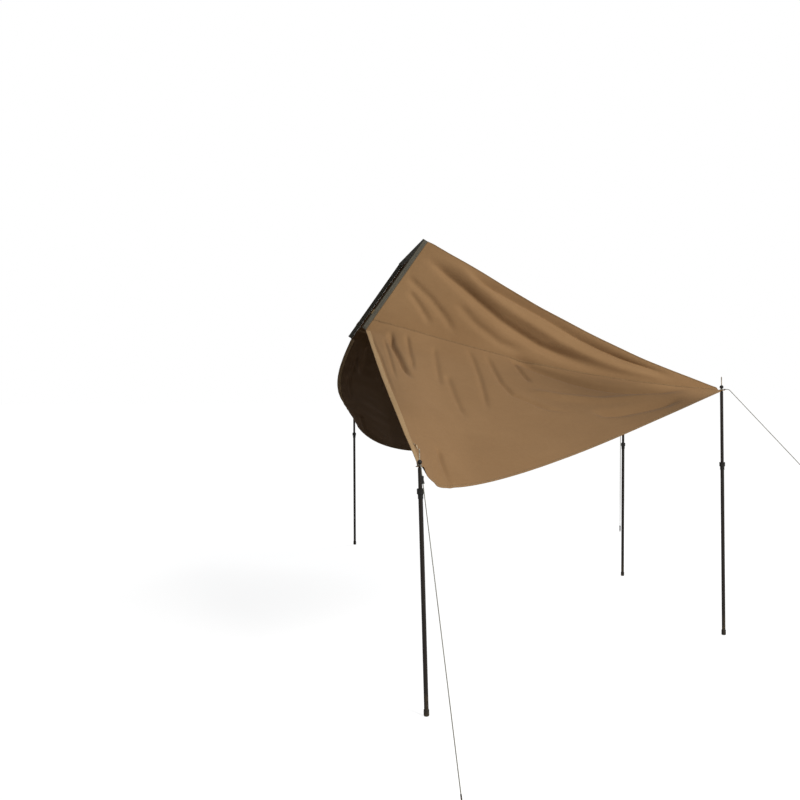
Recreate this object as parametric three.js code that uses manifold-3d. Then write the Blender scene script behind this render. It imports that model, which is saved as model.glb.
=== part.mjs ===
// A sun canopy that zips to the open front of a roof tent and stands on four telescopic poles.
// Millimetres. X runs out from the tent, Y runs across it (left is +Y for someone looking out), Z is up.
import * as THREE from 'three';
import { mergeVertices } from 'three/addons/utils/BufferGeometryUtils.js';
import Module from 'manifold-3d';

const wasm = await Module();
wasm.setup();

// Where the canopy meets the tent: a zip up each side and a welt cord across the top
const attachHalfWidth = 750;
const attachLowHeight = 2176;
const attachHighHeight = 2834;
const attachLean = 461;
const seamStartShare = 0.115;

// How it is pitched: eyelet heights, the feet's places, and how far each pole's head leans out
const rearRowOut = 168;
const rearHalfSpan = 2620;
const frontRowOut = 2500;
const frontHalfSpan = 1000;
const frontRowShift = 300;
const rearRightHeight = 1345;
const rearLeftHeight = 1410;
const frontHeight = 1735;
const rearRightLean = -37;
const rearLeftLean = -7;
const frontRightLean = -16;
const frontLeftLean = 8;

// Canvas
const clothThickness = 2;
const seamGap = 0.3;
const layerGap = 0.35;
const ridgeSag = 75;
const seamSag = 82;
const roofSag = 85;
const frontEdgeSag = 55;
const rightHemSag = 190;
const leftHemSag = 450;
const rightRearBow = 12;
const leftRearBow = 150;
const wingFoldDepth = 22;
const gableFoldDepth = 16;
const hemWidth = 28;
const cornerCut = 75;
const cornerFlatRadius = 34;
const cornerBlendRadius = 120;
const tipMargin = 16;
const hemThickness = 2.4;

// Corner patches and eyelets
const patchRadius = 25;
const patchThickness = 4;
const hemHoleRadius = 18;
const eyeletBore = 7;
const eyeletBarrelWall = 1.3;
const eyeletFlangeRadius = 13;
const eyeletFlangeThickness = 1.2;
const cutReach = 60;

// Zips up the sides and the welt across the top
const tapeWidth = 30;
const tapeThickness = 2;
const tapeClearance = 1;
const zipBeadRadius = 3;
const weltRadius = 5;
const weltEndGap = 13;
const sliderLength = 22;
const sliderWall = 2.5;
const sliderStart = 140;
const pullerLength = 38;
const pullerWidth = 9;
const pullerThickness = 1.8;

// Telescopic poles: all four are alike, so their tubes are cut to suit the shortest
const shortestPole = Math.min(rearRightHeight, rearLeftHeight);
const lowerTubeRadius = 12.5;
const upperTubeRadius = 11;
const tubeWall = 1.2;
const collarDrop = 149;
const collarHeight = shortestPole - collarDrop;
const collarRadius = 19.5;
const collarLength = 30;
const collarLobeDepth = 1.4;
const collarChamfer = 2.5;
const sleeveRadius = 15.4;
const sleeveLength = 24;
const threadRadius = 14.4;
const threadLength = 7;
const colletLength = 19;
const colletTipRadius = 12.6;
const colletLedge = 3;
const upperTubeSpare = 215;
const upperTubeLength = shortestPole - upperTubeSpare;
const footRadius = 15.5;
const footLength = 36;
const footSole = 7;
const footFlatRadius = 9;
const bushFlange = 7;
const bushPlug = 20;
const bushBore = 5;
const headBand = 2.5;
const headPlug = 24;
const spikeRadius = 3.6;
const spikeReach = 96;
const spikeTip = 7;
const seatGap = 0.6;
const ballRadius = 13.5;
const fitGap = 0.3;

// Guy lines: two pulled tight and one that hangs beside its pole
const lineRadius = 2.5;
const eyeInnerRadius = 8;
const lineBend = 12;
const rearLineSlopeShares = [0.02, -1.1, -1.36];
const frontLineSlopeShares = [0.6, -0.29, -0.745];
const frontLineReach = 830;
const loopRadius = 22;
const tieDrop = 32;
const looseLineOffset = 26;
const looseLineEnd = 402;
const looseLineTail = 14;
const tensionerDrop = 75;
const tensionerLength = 46;
const tensionerWidth = 17;
const tensionerThickness = 9;

// How finely the curved faces are divided
const roundSteps = 16;
const arcSteps = 4;
const ballSteps = 7;
const lineSides = 8;
const alongSteps = 17;
const wingSteps = 11;
const gableSteps = 7;
const roofSteps = 14;

// Colours
const canvasColour = 0x95714a;
const hemColour = 0xa37f58;
const tapeColour = 0x4b4a40;
const poleColour = 0x1f1915;
const plasticColour = 0x151311;
const steelColour = 0xb9b9b2;
const lineColour = 0x97978c;

const material = (color, roughness, metalness = 0) =>
  new THREE.MeshStandardMaterial({ color, roughness, metalness, side: THREE.DoubleSide });
const lerp = THREE.MathUtils.lerp;
const vec = (x, y, z) => new THREE.Vector3(x, y, z);
const blend = (a, b, share) => a.clone().lerp(b, share);
const UP = vec(0, 0, 1);
const barrelRadius = eyeletBore + eyeletBarrelWall;
const patchSteps = 24;

const canopy = new THREE.Group();

// Merges the corners of a geometry, drops its empty faces and turns its faces outwards.
function solid(geometry) {
  const bare = geometry.index ? geometry.toNonIndexed() : geometry;
  bare.deleteAttribute('normal');
  bare.deleteAttribute('uv');
  const merged = mergeVertices(bare, 1e-4);
  const corner = (i) => new THREE.Vector3().fromBufferAttribute(merged.attributes.position, i);
  const index = [];
  let volume = 0;
  for (let i = 0; i < merged.index.count; i += 3) {
    const [a, b, c] = [0, 1, 2].map((k) => merged.index.getX(i + k));
    if (a === b || b === c || a === c) continue;
    index.push(a, b, c);
    volume += corner(a).dot(corner(b).cross(corner(c)));
  }
  if (volume < 0) index.reverse();
  merged.setIndex(index);
  merged.computeVertexNormals();
  return merged;
}

// A geometry as a solid that can be joined and cut, and back again.
function toBody(geometry) {
  const clean = solid(geometry);
  const vertProperties = new Float32Array(clean.attributes.position.array);
  const triVerts = new Uint32Array(clean.index.array);
  return new wasm.Manifold(new wasm.Mesh({ numProp: 3, vertProperties, triVerts }));
}

function fromBody(body) {
  const mesh = body.getMesh();
  const geometry = new THREE.BufferGeometry();
  geometry.setAttribute('position', new THREE.BufferAttribute(new Float32Array(mesh.vertProperties), 3));
  geometry.setIndex(new THREE.BufferAttribute(new Uint32Array(mesh.triVerts), 1));
  geometry.computeVertexNormals();
  return geometry;
}

function add(parent, name, geometry, finish) {
  const mesh = new THREE.Mesh(geometry, finish);
  mesh.name = name;
  parent.add(mesh);
  return mesh;
}

// A profile of [radius, height] points turned about Z.
function turned(profile, steps = roundSteps) {
  const points = profile.map(([radius, height]) => new THREE.Vector2(radius, height));
  return solid(new THREE.LatheGeometry(points, steps).rotateX(Math.PI / 2));
}

// A tube or ring wall between two radii and two heights.
function sleeve(inner, outer, bottom, top, steps = roundSteps) {
  return turned([[inner, bottom], [outer, bottom], [outer, top], [inner, top], [inner, bottom]], steps);
}

// A route that has a step at each of its points and none between them.
class Route extends THREE.Curve {
  constructor(points) {
    super();
    this.points = points;
  }

  getPoint(t) {
    const place = t * (this.points.length - 1);
    const before = Math.min(Math.floor(place), this.points.length - 2);
    return blend(this.points[before], this.points[before + 1], place - before);
  }

  getPointAt(t) {
    return this.getPoint(t);
  }

  getTangentAt(t) {
    return this.getTangent(t);
  }
}

// A round cord along a list of points, with square ends.
function cordAlong(points) {
  const section = new THREE.Shape();
  for (let i = 0; i < lineSides; i += 1) {
    const turn = (2 * Math.PI * i) / lineSides;
    const place = [lineRadius * Math.cos(turn), lineRadius * Math.sin(turn)];
    if (i === 0) section.moveTo(...place);
    else section.lineTo(...place);
  }
  section.closePath();
  const route = new Route(points);
  return solid(new THREE.ExtrudeGeometry(section, { steps: points.length - 1, extrudePath: route }));
}

// The two sides of the canopy and the four poles
const sides = {
  right: { name: 'right', sign: -1, hemSag: rightHemSag, hemRiseShare: 0.36, bow: rightRearBow },
  left: { name: 'left', sign: 1, hemSag: leftHemSag, hemRiseShare: 0.6, bow: leftRearBow },
};
const hemFallShare = 1.15;

const poles = {
  rear_right: { out: rearRowOut, across: -rearHalfSpan, lean: rearRightLean, height: rearRightHeight },
  rear_left: { out: rearRowOut, across: rearHalfSpan, lean: rearLeftLean, height: rearLeftHeight },
  front_right: {
    out: frontRowOut,
    across: -frontHalfSpan - frontRowShift,
    lean: frontRightLean,
    height: frontHeight,
  },
  front_left: {
    out: frontRowOut,
    across: frontHalfSpan - frontRowShift,
    lean: frontLeftLean,
    height: frontHeight,
  },
};
for (const [name, pole] of Object.entries(poles)) {
  pole.name = name;
  pole.foot = vec(pole.out, pole.across, (footFlatRadius * Math.abs(pole.lean)) / pole.height);
  pole.eyelet = vec(pole.out + pole.lean, pole.across, pole.height);
  pole.axis = pole.eyelet.clone().sub(pole.foot).normalize();
  pole.length = pole.eyelet.distanceTo(pole.foot);
  pole.turn = new THREE.Quaternion().setFromUnitVectors(UP, pole.axis);
}

// The canvas: its outline is worked out from the tie-on points and the four eyelets
const attachPoint = (side, share) =>
  vec(attachLean * share, side.sign * attachHalfWidth, lerp(attachLowHeight, attachHighHeight, share));

// The cloth's corner lies a little past its eyelet, away from its two neighbours.
function cornerTip(eyelet, first, second) {
  const pull = first.clone().sub(eyelet).setZ(0).normalize();
  pull.add(second.clone().sub(eyelet).setZ(0).normalize()).normalize();
  return eyelet.clone().addScaledVector(pull, -tipMargin);
}

for (const side of Object.values(sides)) {
  side.rear = poles[`rear_${side.name}`];
  side.front = poles[`front_${side.name}`];
}
for (const side of Object.values(sides)) {
  const other = side.name === 'right' ? sides.left : sides.right;
  const low = attachPoint(side, 0);
  const high = attachPoint(side, 1);
  side.rearTip = cornerTip(side.rear.eyelet, low, side.front.eyelet);
  side.frontTip = cornerTip(side.front.eyelet, high, other.front.eyelet);
}

// A sag that is nothing at both ends and deepest at the given share of the way.
const sagAt = (share, deepest) => Math.sin(Math.PI * share ** (Math.log(0.5) / Math.log(deepest)));

// Near an eyelet the cloth lies flat on the pole's shoulder.
function settle(point) {
  for (const pole of Object.values(poles)) {
    const dx = point.x - pole.eyelet.x;
    const dy = point.y - pole.eyelet.y;
    const free = THREE.MathUtils.smoothstep(Math.hypot(dx, dy), cornerFlatRadius, cornerBlendRadius);
    const flat = pole.eyelet.z - (dx * pole.axis.x + dy * pole.axis.y) / pole.axis.z;
    point.z = lerp(flat, point.z, free);
  }
  return point;
}

const ridgeDeepestShare = 0.57;
function ridge(side, u) {
  const point = blend(attachPoint(side, 1), side.frontTip, u);
  point.z -= ridgeSag * sagAt(u, ridgeDeepestShare);
  return point;
}

const seamDeepestShare = 0.55;
function seam(side, u) {
  const point = blend(attachPoint(side, seamStartShare), side.frontTip, u);
  point.z -= seamSag * sagAt(u, seamDeepestShare);
  return point;
}

// The wing's lower edge drops steeply from the rear pole and rises slowly to the front one.
function lowerEdge(side, u) {
  const point = blend(side.rearTip, side.frontTip, u);
  const peak = side.hemRiseShare / (side.hemRiseShare + hemFallShare);
  const shape = (t) => t ** side.hemRiseShare * (1 - t) ** hemFallShare;
  point.z -= (side.hemSag * shape(u)) / shape(peak);
  return point;
}

// The wing's rear edge follows the zip down to its lower end and then runs out to the rear pole.
const kneeShare = 0.045;
const rearDropShare = 0.3;
function rearEdge(side, v) {
  const low = attachPoint(side, 0);
  if (v < kneeShare) return blend(attachPoint(side, seamStartShare), low, v / kneeShare);
  const share = (v - kneeShare) / (1 - kneeShare);
  const point = blend(low, side.rearTip, share);
  const bow = side.bow * Math.sin(Math.PI * share);
  point.x -= bow;
  point.z -= bow * rearDropShare;
  return point;
}

const roofFoldShare = 0.12;
function roofPoint(u, w) {
  const point = blend(ridge(sides.right, u), ridge(sides.left, u), w);
  const across = Math.sin(Math.PI * w);
  point.z -= across * (roofSag * sagAt(u, ridgeDeepestShare) + frontEdgeSag * u * u);
  point.z -= roofSag * roofFoldShare * Math.sin(3 * Math.PI * w) * Math.sin(Math.PI * u);
  return settle(point);
}

// Folds run from the zip towards the front eyelet.
const gableFoldCount = 2;
function gablePoint(side, u, v) {
  const point = blend(ridge(side, u), seam(side, u), v);
  const wave = Math.sin(2 * Math.PI * gableFoldCount * v) * Math.sin(Math.PI * u) * (1 - u / 2);
  point.y += side.sign * gableFoldDepth * wave * Math.sin(Math.PI * v);
  return settle(point);
}

// Folds fan out from the lower end of the zip.
const wingFoldCount = 3;
const fanShare = 1.4;
const foldOnset = 6;
const foldSideShare = 0.5;
const rearEdgeFade = 4;
function wingPoint(side, u, v) {
  const point = blend(seam(side, u), lowerEdge(side, u), v);
  const start = blend(attachPoint(side, seamStartShare), side.rearTip, v);
  point.addScaledVector(rearEdge(side, v).sub(start), (1 - u) ** rearEdgeFade);
  const fan = Math.atan2(v, fanShare * u) / (Math.PI / 2);
  const wave = Math.sin(2 * Math.PI * wingFoldCount * fan) * Math.sin(Math.PI * v);
  const rise = wingFoldDepth * wave * Math.min(1, foldOnset * u) * (1 - u);
  point.y += side.sign * rise * foldSideShare;
  point.z += rise;
  return settle(point);
}

// The normal of a surface at one place. The sign says which of its faces is the outer one.
const nudge = 1e-3;
function normalOf(surface, u, v, sign) {
  const u0 = Math.max(0, u - nudge);
  const u1 = Math.min(1, u + nudge);
  const v0 = Math.max(0, v - nudge);
  const v1 = Math.min(1, v + nudge);
  const along = surface(u1, v).sub(surface(u0, v));
  return along.cross(surface(u, v1).sub(surface(u, v0))).setLength(sign);
}

// Gives every point of a grid the normal of the cells round it.
function faced(points, sign) {
  return points.map((row, i) =>
    row.map((point, j) => {
      const along = points[Math.min(points.length - 1, i + 1)][j].clone().sub(points[Math.max(0, i - 1)][j]);
      const across = row[Math.min(row.length - 1, j + 1)].clone().sub(row[Math.max(0, j - 1)]);
      return { point, normal: along.cross(across).setLength(sign) };
    }),
  );
}

// Two panels that meet at a seam share the bisector of their normals there, as a mitre.
const sharpestMitre = 0.6;
function mitre(first, second) {
  const middle = first.clone().add(second).normalize();
  return middle.divideScalar(Math.max(middle.dot(first), sharpestMitre));
}

const roofNormal = (u, w) => normalOf(roofPoint, u, w, 1);
const gableNormal = (side, u, v) => normalOf((a, b) => gablePoint(side, a, b), u, v, side.sign);
const wingNormal = (side, u, v) => normalOf((a, b) => wingPoint(side, a, b), u, v, side.sign);
const ridgeMitre = (side, u) => mitre(gableNormal(side, u, 0), roofNormal(u, side.sign < 0 ? 0 : 1));
const seamMitre = (side, u) => mitre(gableNormal(side, u, 1), wingNormal(side, u, 0));

// A closed skin over the kept cells of a grid of { point, normal }, lifted off the surface.
function skin(grid, thickness, lift = 0, keeps = () => true) {
  const columns = grid[0].length;
  const under = grid.length * columns;
  const positions = [];
  for (const level of [lift + thickness / 2, lift - thickness / 2]) {
    for (const { point, normal } of grid.flat()) {
      positions.push(...point.clone().addScaledVector(normal, level).toArray());
    }
  }
  const index = [];
  const rim = new Map();
  for (let i = 0; i < grid.length - 1; i += 1) {
    for (let j = 0; j < columns - 1; j += 1) {
      if (!keeps(i, j)) continue;
      const a = i * columns + j;
      const cell = [a, a + columns, a + columns + 1, a + 1];
      const [, b, c, d] = cell;
      index.push(a, b, c, a, c, d);
      index.push(under + a, under + c, under + b, under + a, under + d, under + c);
      for (let k = 0; k < cell.length; k += 1) {
        const [from, to] = [cell[k], cell[(k + 1) % cell.length]];
        if (!rim.delete(`${to} ${from}`)) rim.set(`${from} ${to}`, [from, to]);
      }
    }
  }
  for (const [from, to] of rim.values()) {
    index.push(to, from, under + from, to, under + from, under + to);
  }
  const geometry = new THREE.BufferGeometry();
  geometry.setAttribute('position', new THREE.Float32BufferAttribute(positions, 3));
  geometry.setIndex(index);
  return solid(geometry);
}

// Steps along a panel, close together at its start or at both ends.
const stepsFromStart = (count, power) => Array.from({ length: count + 1 }, (_, i) => (i / count) ** power);
const stepsFromEnd = (count, power) => stepsFromStart(count, power).map((s) => 1 - s).reverse();
const stepsFromBothEnds = (count) =>
  Array.from({ length: count + 1 }, (_, i) => (1 - Math.cos((Math.PI * i) / count)) / 2);

// Moves the first or last line of a grid a little into its own panel.
function shrink(grid, where, distance) {
  const last = grid.length - 1;
  const side = grid[0].length - 1;
  const lines = {
    start: grid[0].map((p, j) => [p, grid[1][j]]),
    end: grid[last].map((p, j) => [p, grid[last - 1][j]]),
    first: grid.map((row) => [row[0], row[1]]),
    last: grid.map((row) => [row[side], row[side - 1]]),
  };
  for (const [edge, next] of lines[where]) {
    edge.point.addScaledVector(next.point.clone().sub(edge.point).normalize(), distance);
  }
}

// Sets a shape that was made round the origin square to a pole's spike, at its eyelet.
function atEyelet(geometry, pole) {
  return geometry.applyQuaternion(pole.turn).translate(...pole.eyelet.toArray());
}

// Drills a round hole through a piece of cloth, centred on an eyelet.
function cutCorner(geometry, pole, radius) {
  const drill = [[0, -cutReach], [radius, -cutReach], [radius, cutReach], [0, cutReach]];
  return fromBody(toBody(geometry).subtract(toBody(atEyelet(turned(drill, patchSteps), pole))));
}

// Sews a round patch with the eyelet's hole on to the corner of a piece of cloth.
function sewPatch(geometry, pole) {
  const top = patchThickness / 2;
  const under = -clothThickness / 2;
  const disc = turned([[0, under], [patchRadius, under], [patchRadius, top], [0, top]], patchSteps);
  const hole = barrelRadius + fitGap;
  const drill = turned([[0, -cutReach], [hole, -cutReach], [hole, cutReach], [0, cutReach]]);
  const joined = toBody(geometry).add(toBody(atEyelet(disc, pole)));
  return fromBody(joined.subtract(toBody(atEyelet(drill, pole))));
}

const canvas = material(canvasColour, 0.9);
const hemCloth = material(hemColour, 0.9);

// Lines along the panels, the same for all of them so that they meet along their seams
const panelReach = frontRowOut - attachLean;
const rearHemShare = hemWidth / panelReach;
const sideEndShare = 1 - cornerCut / panelReach;
const sideAlong = [0, ...stepsFromBothEnds(alongSteps).map((s) => lerp(rearHemShare, sideEndShare, s))];
const roofAlong = [...sideAlong, 1 - rearHemShare, 1];

// Roof panel
const roofAcross = stepsFromBothEnds(roofSteps);
const roof = faced(roofAlong.map((u) => roofAcross.map((w) => roofPoint(u, w))), 1);
roof.forEach((row, i) => {
  row[0].normal = ridgeMitre(sides.right, roofAlong[i]);
  row[row.length - 1].normal = ridgeMitre(sides.left, roofAlong[i]);
});
for (const where of ['start', 'first', 'last']) shrink(roof, where, seamGap);
const underLift = -(clothThickness + hemThickness) / 2 - layerGap;
let roofBody = skin(roof, clothThickness);
const inRoofHem = (i, j) => i === roof.length - 2 && j > 0 && j < roofSteps - 1;
let roofHemBody = skin(roof, hemThickness, underLift, inRoofHem);
for (const pole of [poles.front_right, poles.front_left]) {
  roofBody = sewPatch(roofBody, pole);
  roofHemBody = cutCorner(roofHemBody, pole, hemHoleRadius);
}
add(canopy, 'roof_panel', roofBody, canvas);
add(canopy, 'roof_front_hem', roofHemBody, hemCloth);

// Side panels: a gable above the seam and a wing below it, with a hem along the wing's two free edges
const widestHemShare = 0.4;
const wingStepPower = 1.4;
function addSide(side) {
  const gableAcross = stepsFromStart(gableSteps, 1);
  const gable = faced(sideAlong.map((u) => gableAcross.map((v) => gablePoint(side, u, v))), side.sign);
  gable.forEach((row, i) => {
    row[0].normal = ridgeMitre(side, sideAlong[i]);
    row[row.length - 1].normal = seamMitre(side, sideAlong[i]);
  });
  for (const where of ['start', 'first', 'last']) shrink(gable, where, seamGap);
  const gableBody = cutCorner(skin(gable, clothThickness), side.front, patchRadius + layerGap);
  add(canopy, `${side.name}_gable`, gableBody, canvas);

  const wingAcross = [0, ...stepsFromEnd(wingSteps, wingStepPower).map((s) => lerp(kneeShare, 1, s))];
  const wingRow = (u) => {
    const hemShare = Math.min(widestHemShare, hemWidth / seam(side, u).distanceTo(lowerEdge(side, u)));
    const body = wingAcross.map((s) => s * (1 - 2 * hemShare));
    return [...body, 1 - hemShare, 1].map((v) => wingPoint(side, u, v));
  };
  const wing = faced(sideAlong.map(wingRow), side.sign);
  wing.forEach((row, i) => {
    row[0].normal = seamMitre(side, sideAlong[i]);
  });
  shrink(wing, 'start', tapeClearance);
  const last = wing[0].length - 2;
  const hem = skin(wing, hemThickness, underLift, (i, j) => j === last || (i === 0 && j > 0));
  shrink(wing, 'first', seamGap);
  add(canopy, `${side.name}_wing`, sewPatch(skin(wing, clothThickness), side.rear), canvas);
  add(canopy, `${side.name}_wing_hem`, cutCorner(hem, side.rear, hemHoleRadius), hemCloth);
}
for (const side of Object.values(sides)) addSide(side);

// Eyelets: a two-lipped ring through every corner patch
const flangeBottom = patchThickness / 2 + fitGap;
const flangeTop = flangeBottom + eyeletFlangeThickness;

function eyelet() {
  return turned([
    [eyeletBore, -flangeTop],
    [eyeletFlangeRadius, -flangeTop],
    [eyeletFlangeRadius, -flangeBottom],
    [barrelRadius, -flangeBottom],
    [barrelRadius, flangeBottom],
    [eyeletFlangeRadius, flangeBottom],
    [eyeletFlangeRadius, flangeTop],
    [eyeletBore, flangeTop],
    [eyeletBore, -flangeTop],
  ]);
}

const everyPole = Object.values(poles);
const metal = material(steelColour, 0.35, 1);
for (const pole of everyPole) add(canopy, `${pole.name}_eyelet`, atEyelet(eyelet(), pole), metal);

// Zip tapes and welt: a flat tape with a round bead along its outer edge
function beadedStrip(width, thickness, beadRadius, length) {
  const half = thickness / 2;
  const beadCentre = width + Math.sqrt(beadRadius ** 2 - half ** 2);
  const neck = Math.asin(half / beadRadius);
  const outline = new THREE.Shape();
  outline.moveTo(fitGap, -half);
  outline.lineTo(width, -half);
  outline.absarc(beadCentre, 0, beadRadius, neck - Math.PI, Math.PI - neck, false);
  outline.lineTo(fitGap, half);
  outline.closePath();
  return new THREE.ExtrudeGeometry(outline, { depth: length, bevelEnabled: false, curveSegments: arcSteps });
}

// A frame whose Z runs along the strip and whose X points away from the cloth's edge.
function stripFrame(start, end, inward) {
  const along = end.clone().sub(start).normalize();
  const away = inward.clone().addScaledVector(along, -inward.dot(along)).normalize().negate();
  const normal = along.clone().cross(away);
  return new THREE.Matrix4().makeBasis(away, normal, along).setPosition(start);
}

const tape = material(tapeColour, 0.8);
const darkPlastic = material(plasticColour, 0.45);

// The slider is a channel that wraps the bead, with a puller on its outer face.
function zipSlider(outwards) {
  const beadEnd = tapeWidth + 2 * zipBeadRadius;
  const inner = zipBeadRadius + fitGap;
  const outer = inner + sliderWall;
  const mouth = tapeWidth - sliderWall;
  const channel = new THREE.Shape();
  channel.moveTo(mouth, -outer);
  channel.lineTo(beadEnd + fitGap + sliderWall, -outer);
  channel.lineTo(beadEnd + fitGap + sliderWall, outer);
  channel.lineTo(mouth, outer);
  channel.lineTo(mouth, inner);
  channel.lineTo(beadEnd + fitGap, inner);
  channel.lineTo(beadEnd + fitGap, -inner);
  channel.lineTo(mouth, -inner);
  channel.closePath();
  const body = new THREE.ExtrudeGeometry(channel, { depth: sliderLength, bevelEnabled: false });
  const plate = new THREE.BoxGeometry(pullerWidth, pullerThickness, pullerLength);
  const plateAcross = outwards * (outer + pullerThickness / 4);
  plate.translate(tapeWidth + zipBeadRadius, plateAcross, sliderLength - pullerLength / 2);
  return fromBody(toBody(body).add(toBody(plate)));
}

for (const side of Object.values(sides)) {
  const low = attachPoint(side, 0);
  const high = attachPoint(side, 1);
  const frameOfTape = stripFrame(low, high, side.frontTip.clone().sub(low));
  const strip = beadedStrip(tapeWidth, tapeThickness, zipBeadRadius, high.distanceTo(low));
  add(canopy, `${side.name}_zip_tape`, solid(strip.applyMatrix4(frameOfTape)), tape);
  const normal = new THREE.Vector3().setFromMatrixColumn(frameOfTape, 1);
  const slider = zipSlider(Math.sign(normal.y * side.sign)).translate(0, 0, sliderStart);
  add(canopy, `${side.name}_zip_slider`, slider.applyMatrix4(frameOfTape), darkPlastic);
}

const weltStart = attachPoint(sides.right, 1).add(vec(0, weltEndGap, 0));
const weltEnd = attachPoint(sides.left, 1).sub(vec(0, weltEndGap, 0));
const roofRun = vec(frontRowOut - attachLean, 0, frontHeight - attachHighHeight);
const weltFrame = stripFrame(weltStart, weltEnd, roofRun);
const welt = beadedStrip(tapeWidth, tapeThickness, weltRadius, weltEnd.distanceTo(weltStart));
add(canopy, 'top_welt', solid(welt.applyMatrix4(weltFrame)), tape);

// Poles: each is built upright on its own foot and then leaned to meet its eyelet
// The shoulder is a ball whose rim seats in the eyelet's hole, so the pole can tilt there.
const seatRadius = upperTubeRadius + fitGap;
const headCentre = -flangeTop - Math.sqrt(seatRadius ** 2 - eyeletBore ** 2);
const lowerTubeInner = lowerTubeRadius - tubeWall;
const upperTubeInner = upperTubeRadius - tubeWall;
const rubber = material(plasticColour, 0.85);
const paintedTube = material(poleColour, 0.4, 0.6);

function footCap() {
  const bore = lowerTubeRadius + fitGap;
  const rim = footRadius - footSole / 8;
  return turned([
    [0, 0],
    [footFlatRadius, 0],
    [footRadius - footSole / 4, footSole / 4],
    [footRadius, footSole],
    [footRadius, footLength / 2],
    [rim, footLength / 2 + footSole / 8],
    [rim, footLength],
    [bore, footLength],
    [bore, footSole],
    [0, footSole],
  ]);
}

// The collet grips the lower tube with its sleeve and closes on the upper tube with its cone.
function lockCollet() {
  const grip = lowerTubeRadius + fitGap;
  const bore = upperTubeRadius + fitGap;
  return turned([
    [grip, collarHeight - sleeveLength],
    [sleeveRadius, collarHeight - sleeveLength],
    [sleeveRadius, collarHeight - fitGap],
    [threadRadius, collarHeight - fitGap],
    [threadRadius, collarHeight + threadLength],
    [colletTipRadius, collarHeight + colletLength],
    [bore, collarHeight + colletLength],
    [bore, collarHeight + colletLedge],
    [grip, collarHeight + colletLedge],
    [grip, collarHeight - sleeveLength],
  ]);
}

// The twist collar is the collet's nut, with grip lobes round it.
function twistCollar() {
  const top = collarHeight + collarLength;
  const lip = upperTubeRadius + fitGap;
  const profile = [
    [threadRadius + fitGap, collarHeight],
    [collarRadius - collarChamfer, collarHeight],
    [collarRadius, collarHeight + collarChamfer],
    [collarRadius, top - collarChamfer],
    [collarRadius - collarChamfer, top],
    [lip, top],
    [lip, collarHeight + colletLength + collarChamfer],
    [colletTipRadius + fitGap, collarHeight + colletLength + fitGap],
    [threadRadius + fitGap, collarHeight + threadLength + fitGap],
    [threadRadius + fitGap, collarHeight],
  ];
  const lobes = roundSteps;
  const collar = turned(profile, lobes * 2);
  const place = collar.attributes.position;
  for (let i = 0; i < place.count; i += 1) {
    const radius = Math.hypot(place.getX(i), place.getY(i));
    const step = Math.round((Math.atan2(place.getY(i), place.getX(i)) / Math.PI) * lobes);
    if (radius < collarRadius - fitGap || step % 2 === 0) continue;
    const share = (radius - collarLobeDepth) / radius;
    place.setX(i, place.getX(i) * share);
    place.setY(i, place.getY(i) * share);
  }
  return solid(collar);
}

// The head: a plug in the upper tube, a round shoulder under the eyelet and the spike through it.
function headSpike(eyeletPlane) {
  const centre = eyeletPlane + headCentre;
  const band = centre - headBand;
  const arc = [];
  const last = Math.acos(spikeRadius / upperTubeRadius);
  for (let i = 0; i <= arcSteps; i += 1) {
    const turn = (last * i) / arcSteps;
    arc.push([upperTubeRadius * Math.cos(turn), centre + upperTubeRadius * Math.sin(turn)]);
  }
  return turned([
    [0, band - headPlug],
    [upperTubeInner - fitGap, band - headPlug],
    [upperTubeInner - fitGap, band],
    [upperTubeRadius, band],
    ...arc,
    [spikeRadius, eyeletPlane + spikeReach - spikeTip],
    [spikeRadius / 2, eyeletPlane + spikeReach - spikeTip / 4],
    [0, eyeletPlane + spikeReach],
  ]);
}

function ball(bottom) {
  const bore = spikeRadius + fitGap;
  const start = Math.acos(bore / ballRadius);
  const profile = [];
  for (let i = 0; i <= ballSteps; i += 1) {
    const turn = lerp(-start, start, i / ballSteps);
    profile.push([ballRadius * Math.cos(turn), bottom + ballRadius * (1 + Math.sin(turn))]);
  }
  profile.push(profile[0]);
  return turned(profile);
}

const eyeHeight = flangeTop + fitGap + lineRadius;
for (const pole of everyPole) {
  const group = new THREE.Group();
  group.position.copy(pole.foot);
  group.quaternion.copy(pole.turn);
  canopy.add(group);
  pole.group = group;
  const tubeTop = pole.length + headCentre - headBand - fitGap;
  const tubeBottom = tubeTop - upperTubeLength;
  const underEye = pole.across < 0;
  const ballSeat = pole.length + (underEye ? eyeHeight + lineRadius : flangeTop) + seatGap;
  const guide = lowerTubeInner - fitGap;
  const plug = upperTubeInner - fitGap;
  const bush = [
    [bushBore, tubeBottom - fitGap - bushFlange],
    [guide, tubeBottom - fitGap - bushFlange],
    [guide, tubeBottom - fitGap],
    [plug, tubeBottom - fitGap],
    [plug, tubeBottom + bushPlug],
    [bushBore, tubeBottom + bushPlug],
    [bushBore, tubeBottom - fitGap - bushFlange],
  ];
  const lowerTop = collarHeight + colletLedge - fitGap;
  const lowerTube = sleeve(lowerTubeInner, lowerTubeRadius, footSole + fitGap, lowerTop);
  const upperTube = sleeve(upperTubeInner, upperTubeRadius, tubeBottom, tubeTop);
  add(group, `${pole.name}_foot`, footCap(), rubber);
  add(group, `${pole.name}_lower_tube`, lowerTube, paintedTube);
  add(group, `${pole.name}_lock_collet`, lockCollet(), darkPlastic);
  add(group, `${pole.name}_twist_collar`, twistCollar(), darkPlastic);
  add(group, `${pole.name}_upper_tube`, upperTube, paintedTube);
  add(group, `${pole.name}_end_bush`, turned(bush), darkPlastic);
  add(group, `${pole.name}_spike`, headSpike(pole.length), metal);
  add(group, `${pole.name}_ball`, ball(ballSeat), darkPlastic);
}

// Guy lines
const cordFinish = material(lineColour, 0.9);
const onLines = [];
function addLinePiece(parent, name, geometry, finish) {
  onLines.push(add(parent, name, geometry, finish));
}

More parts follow.
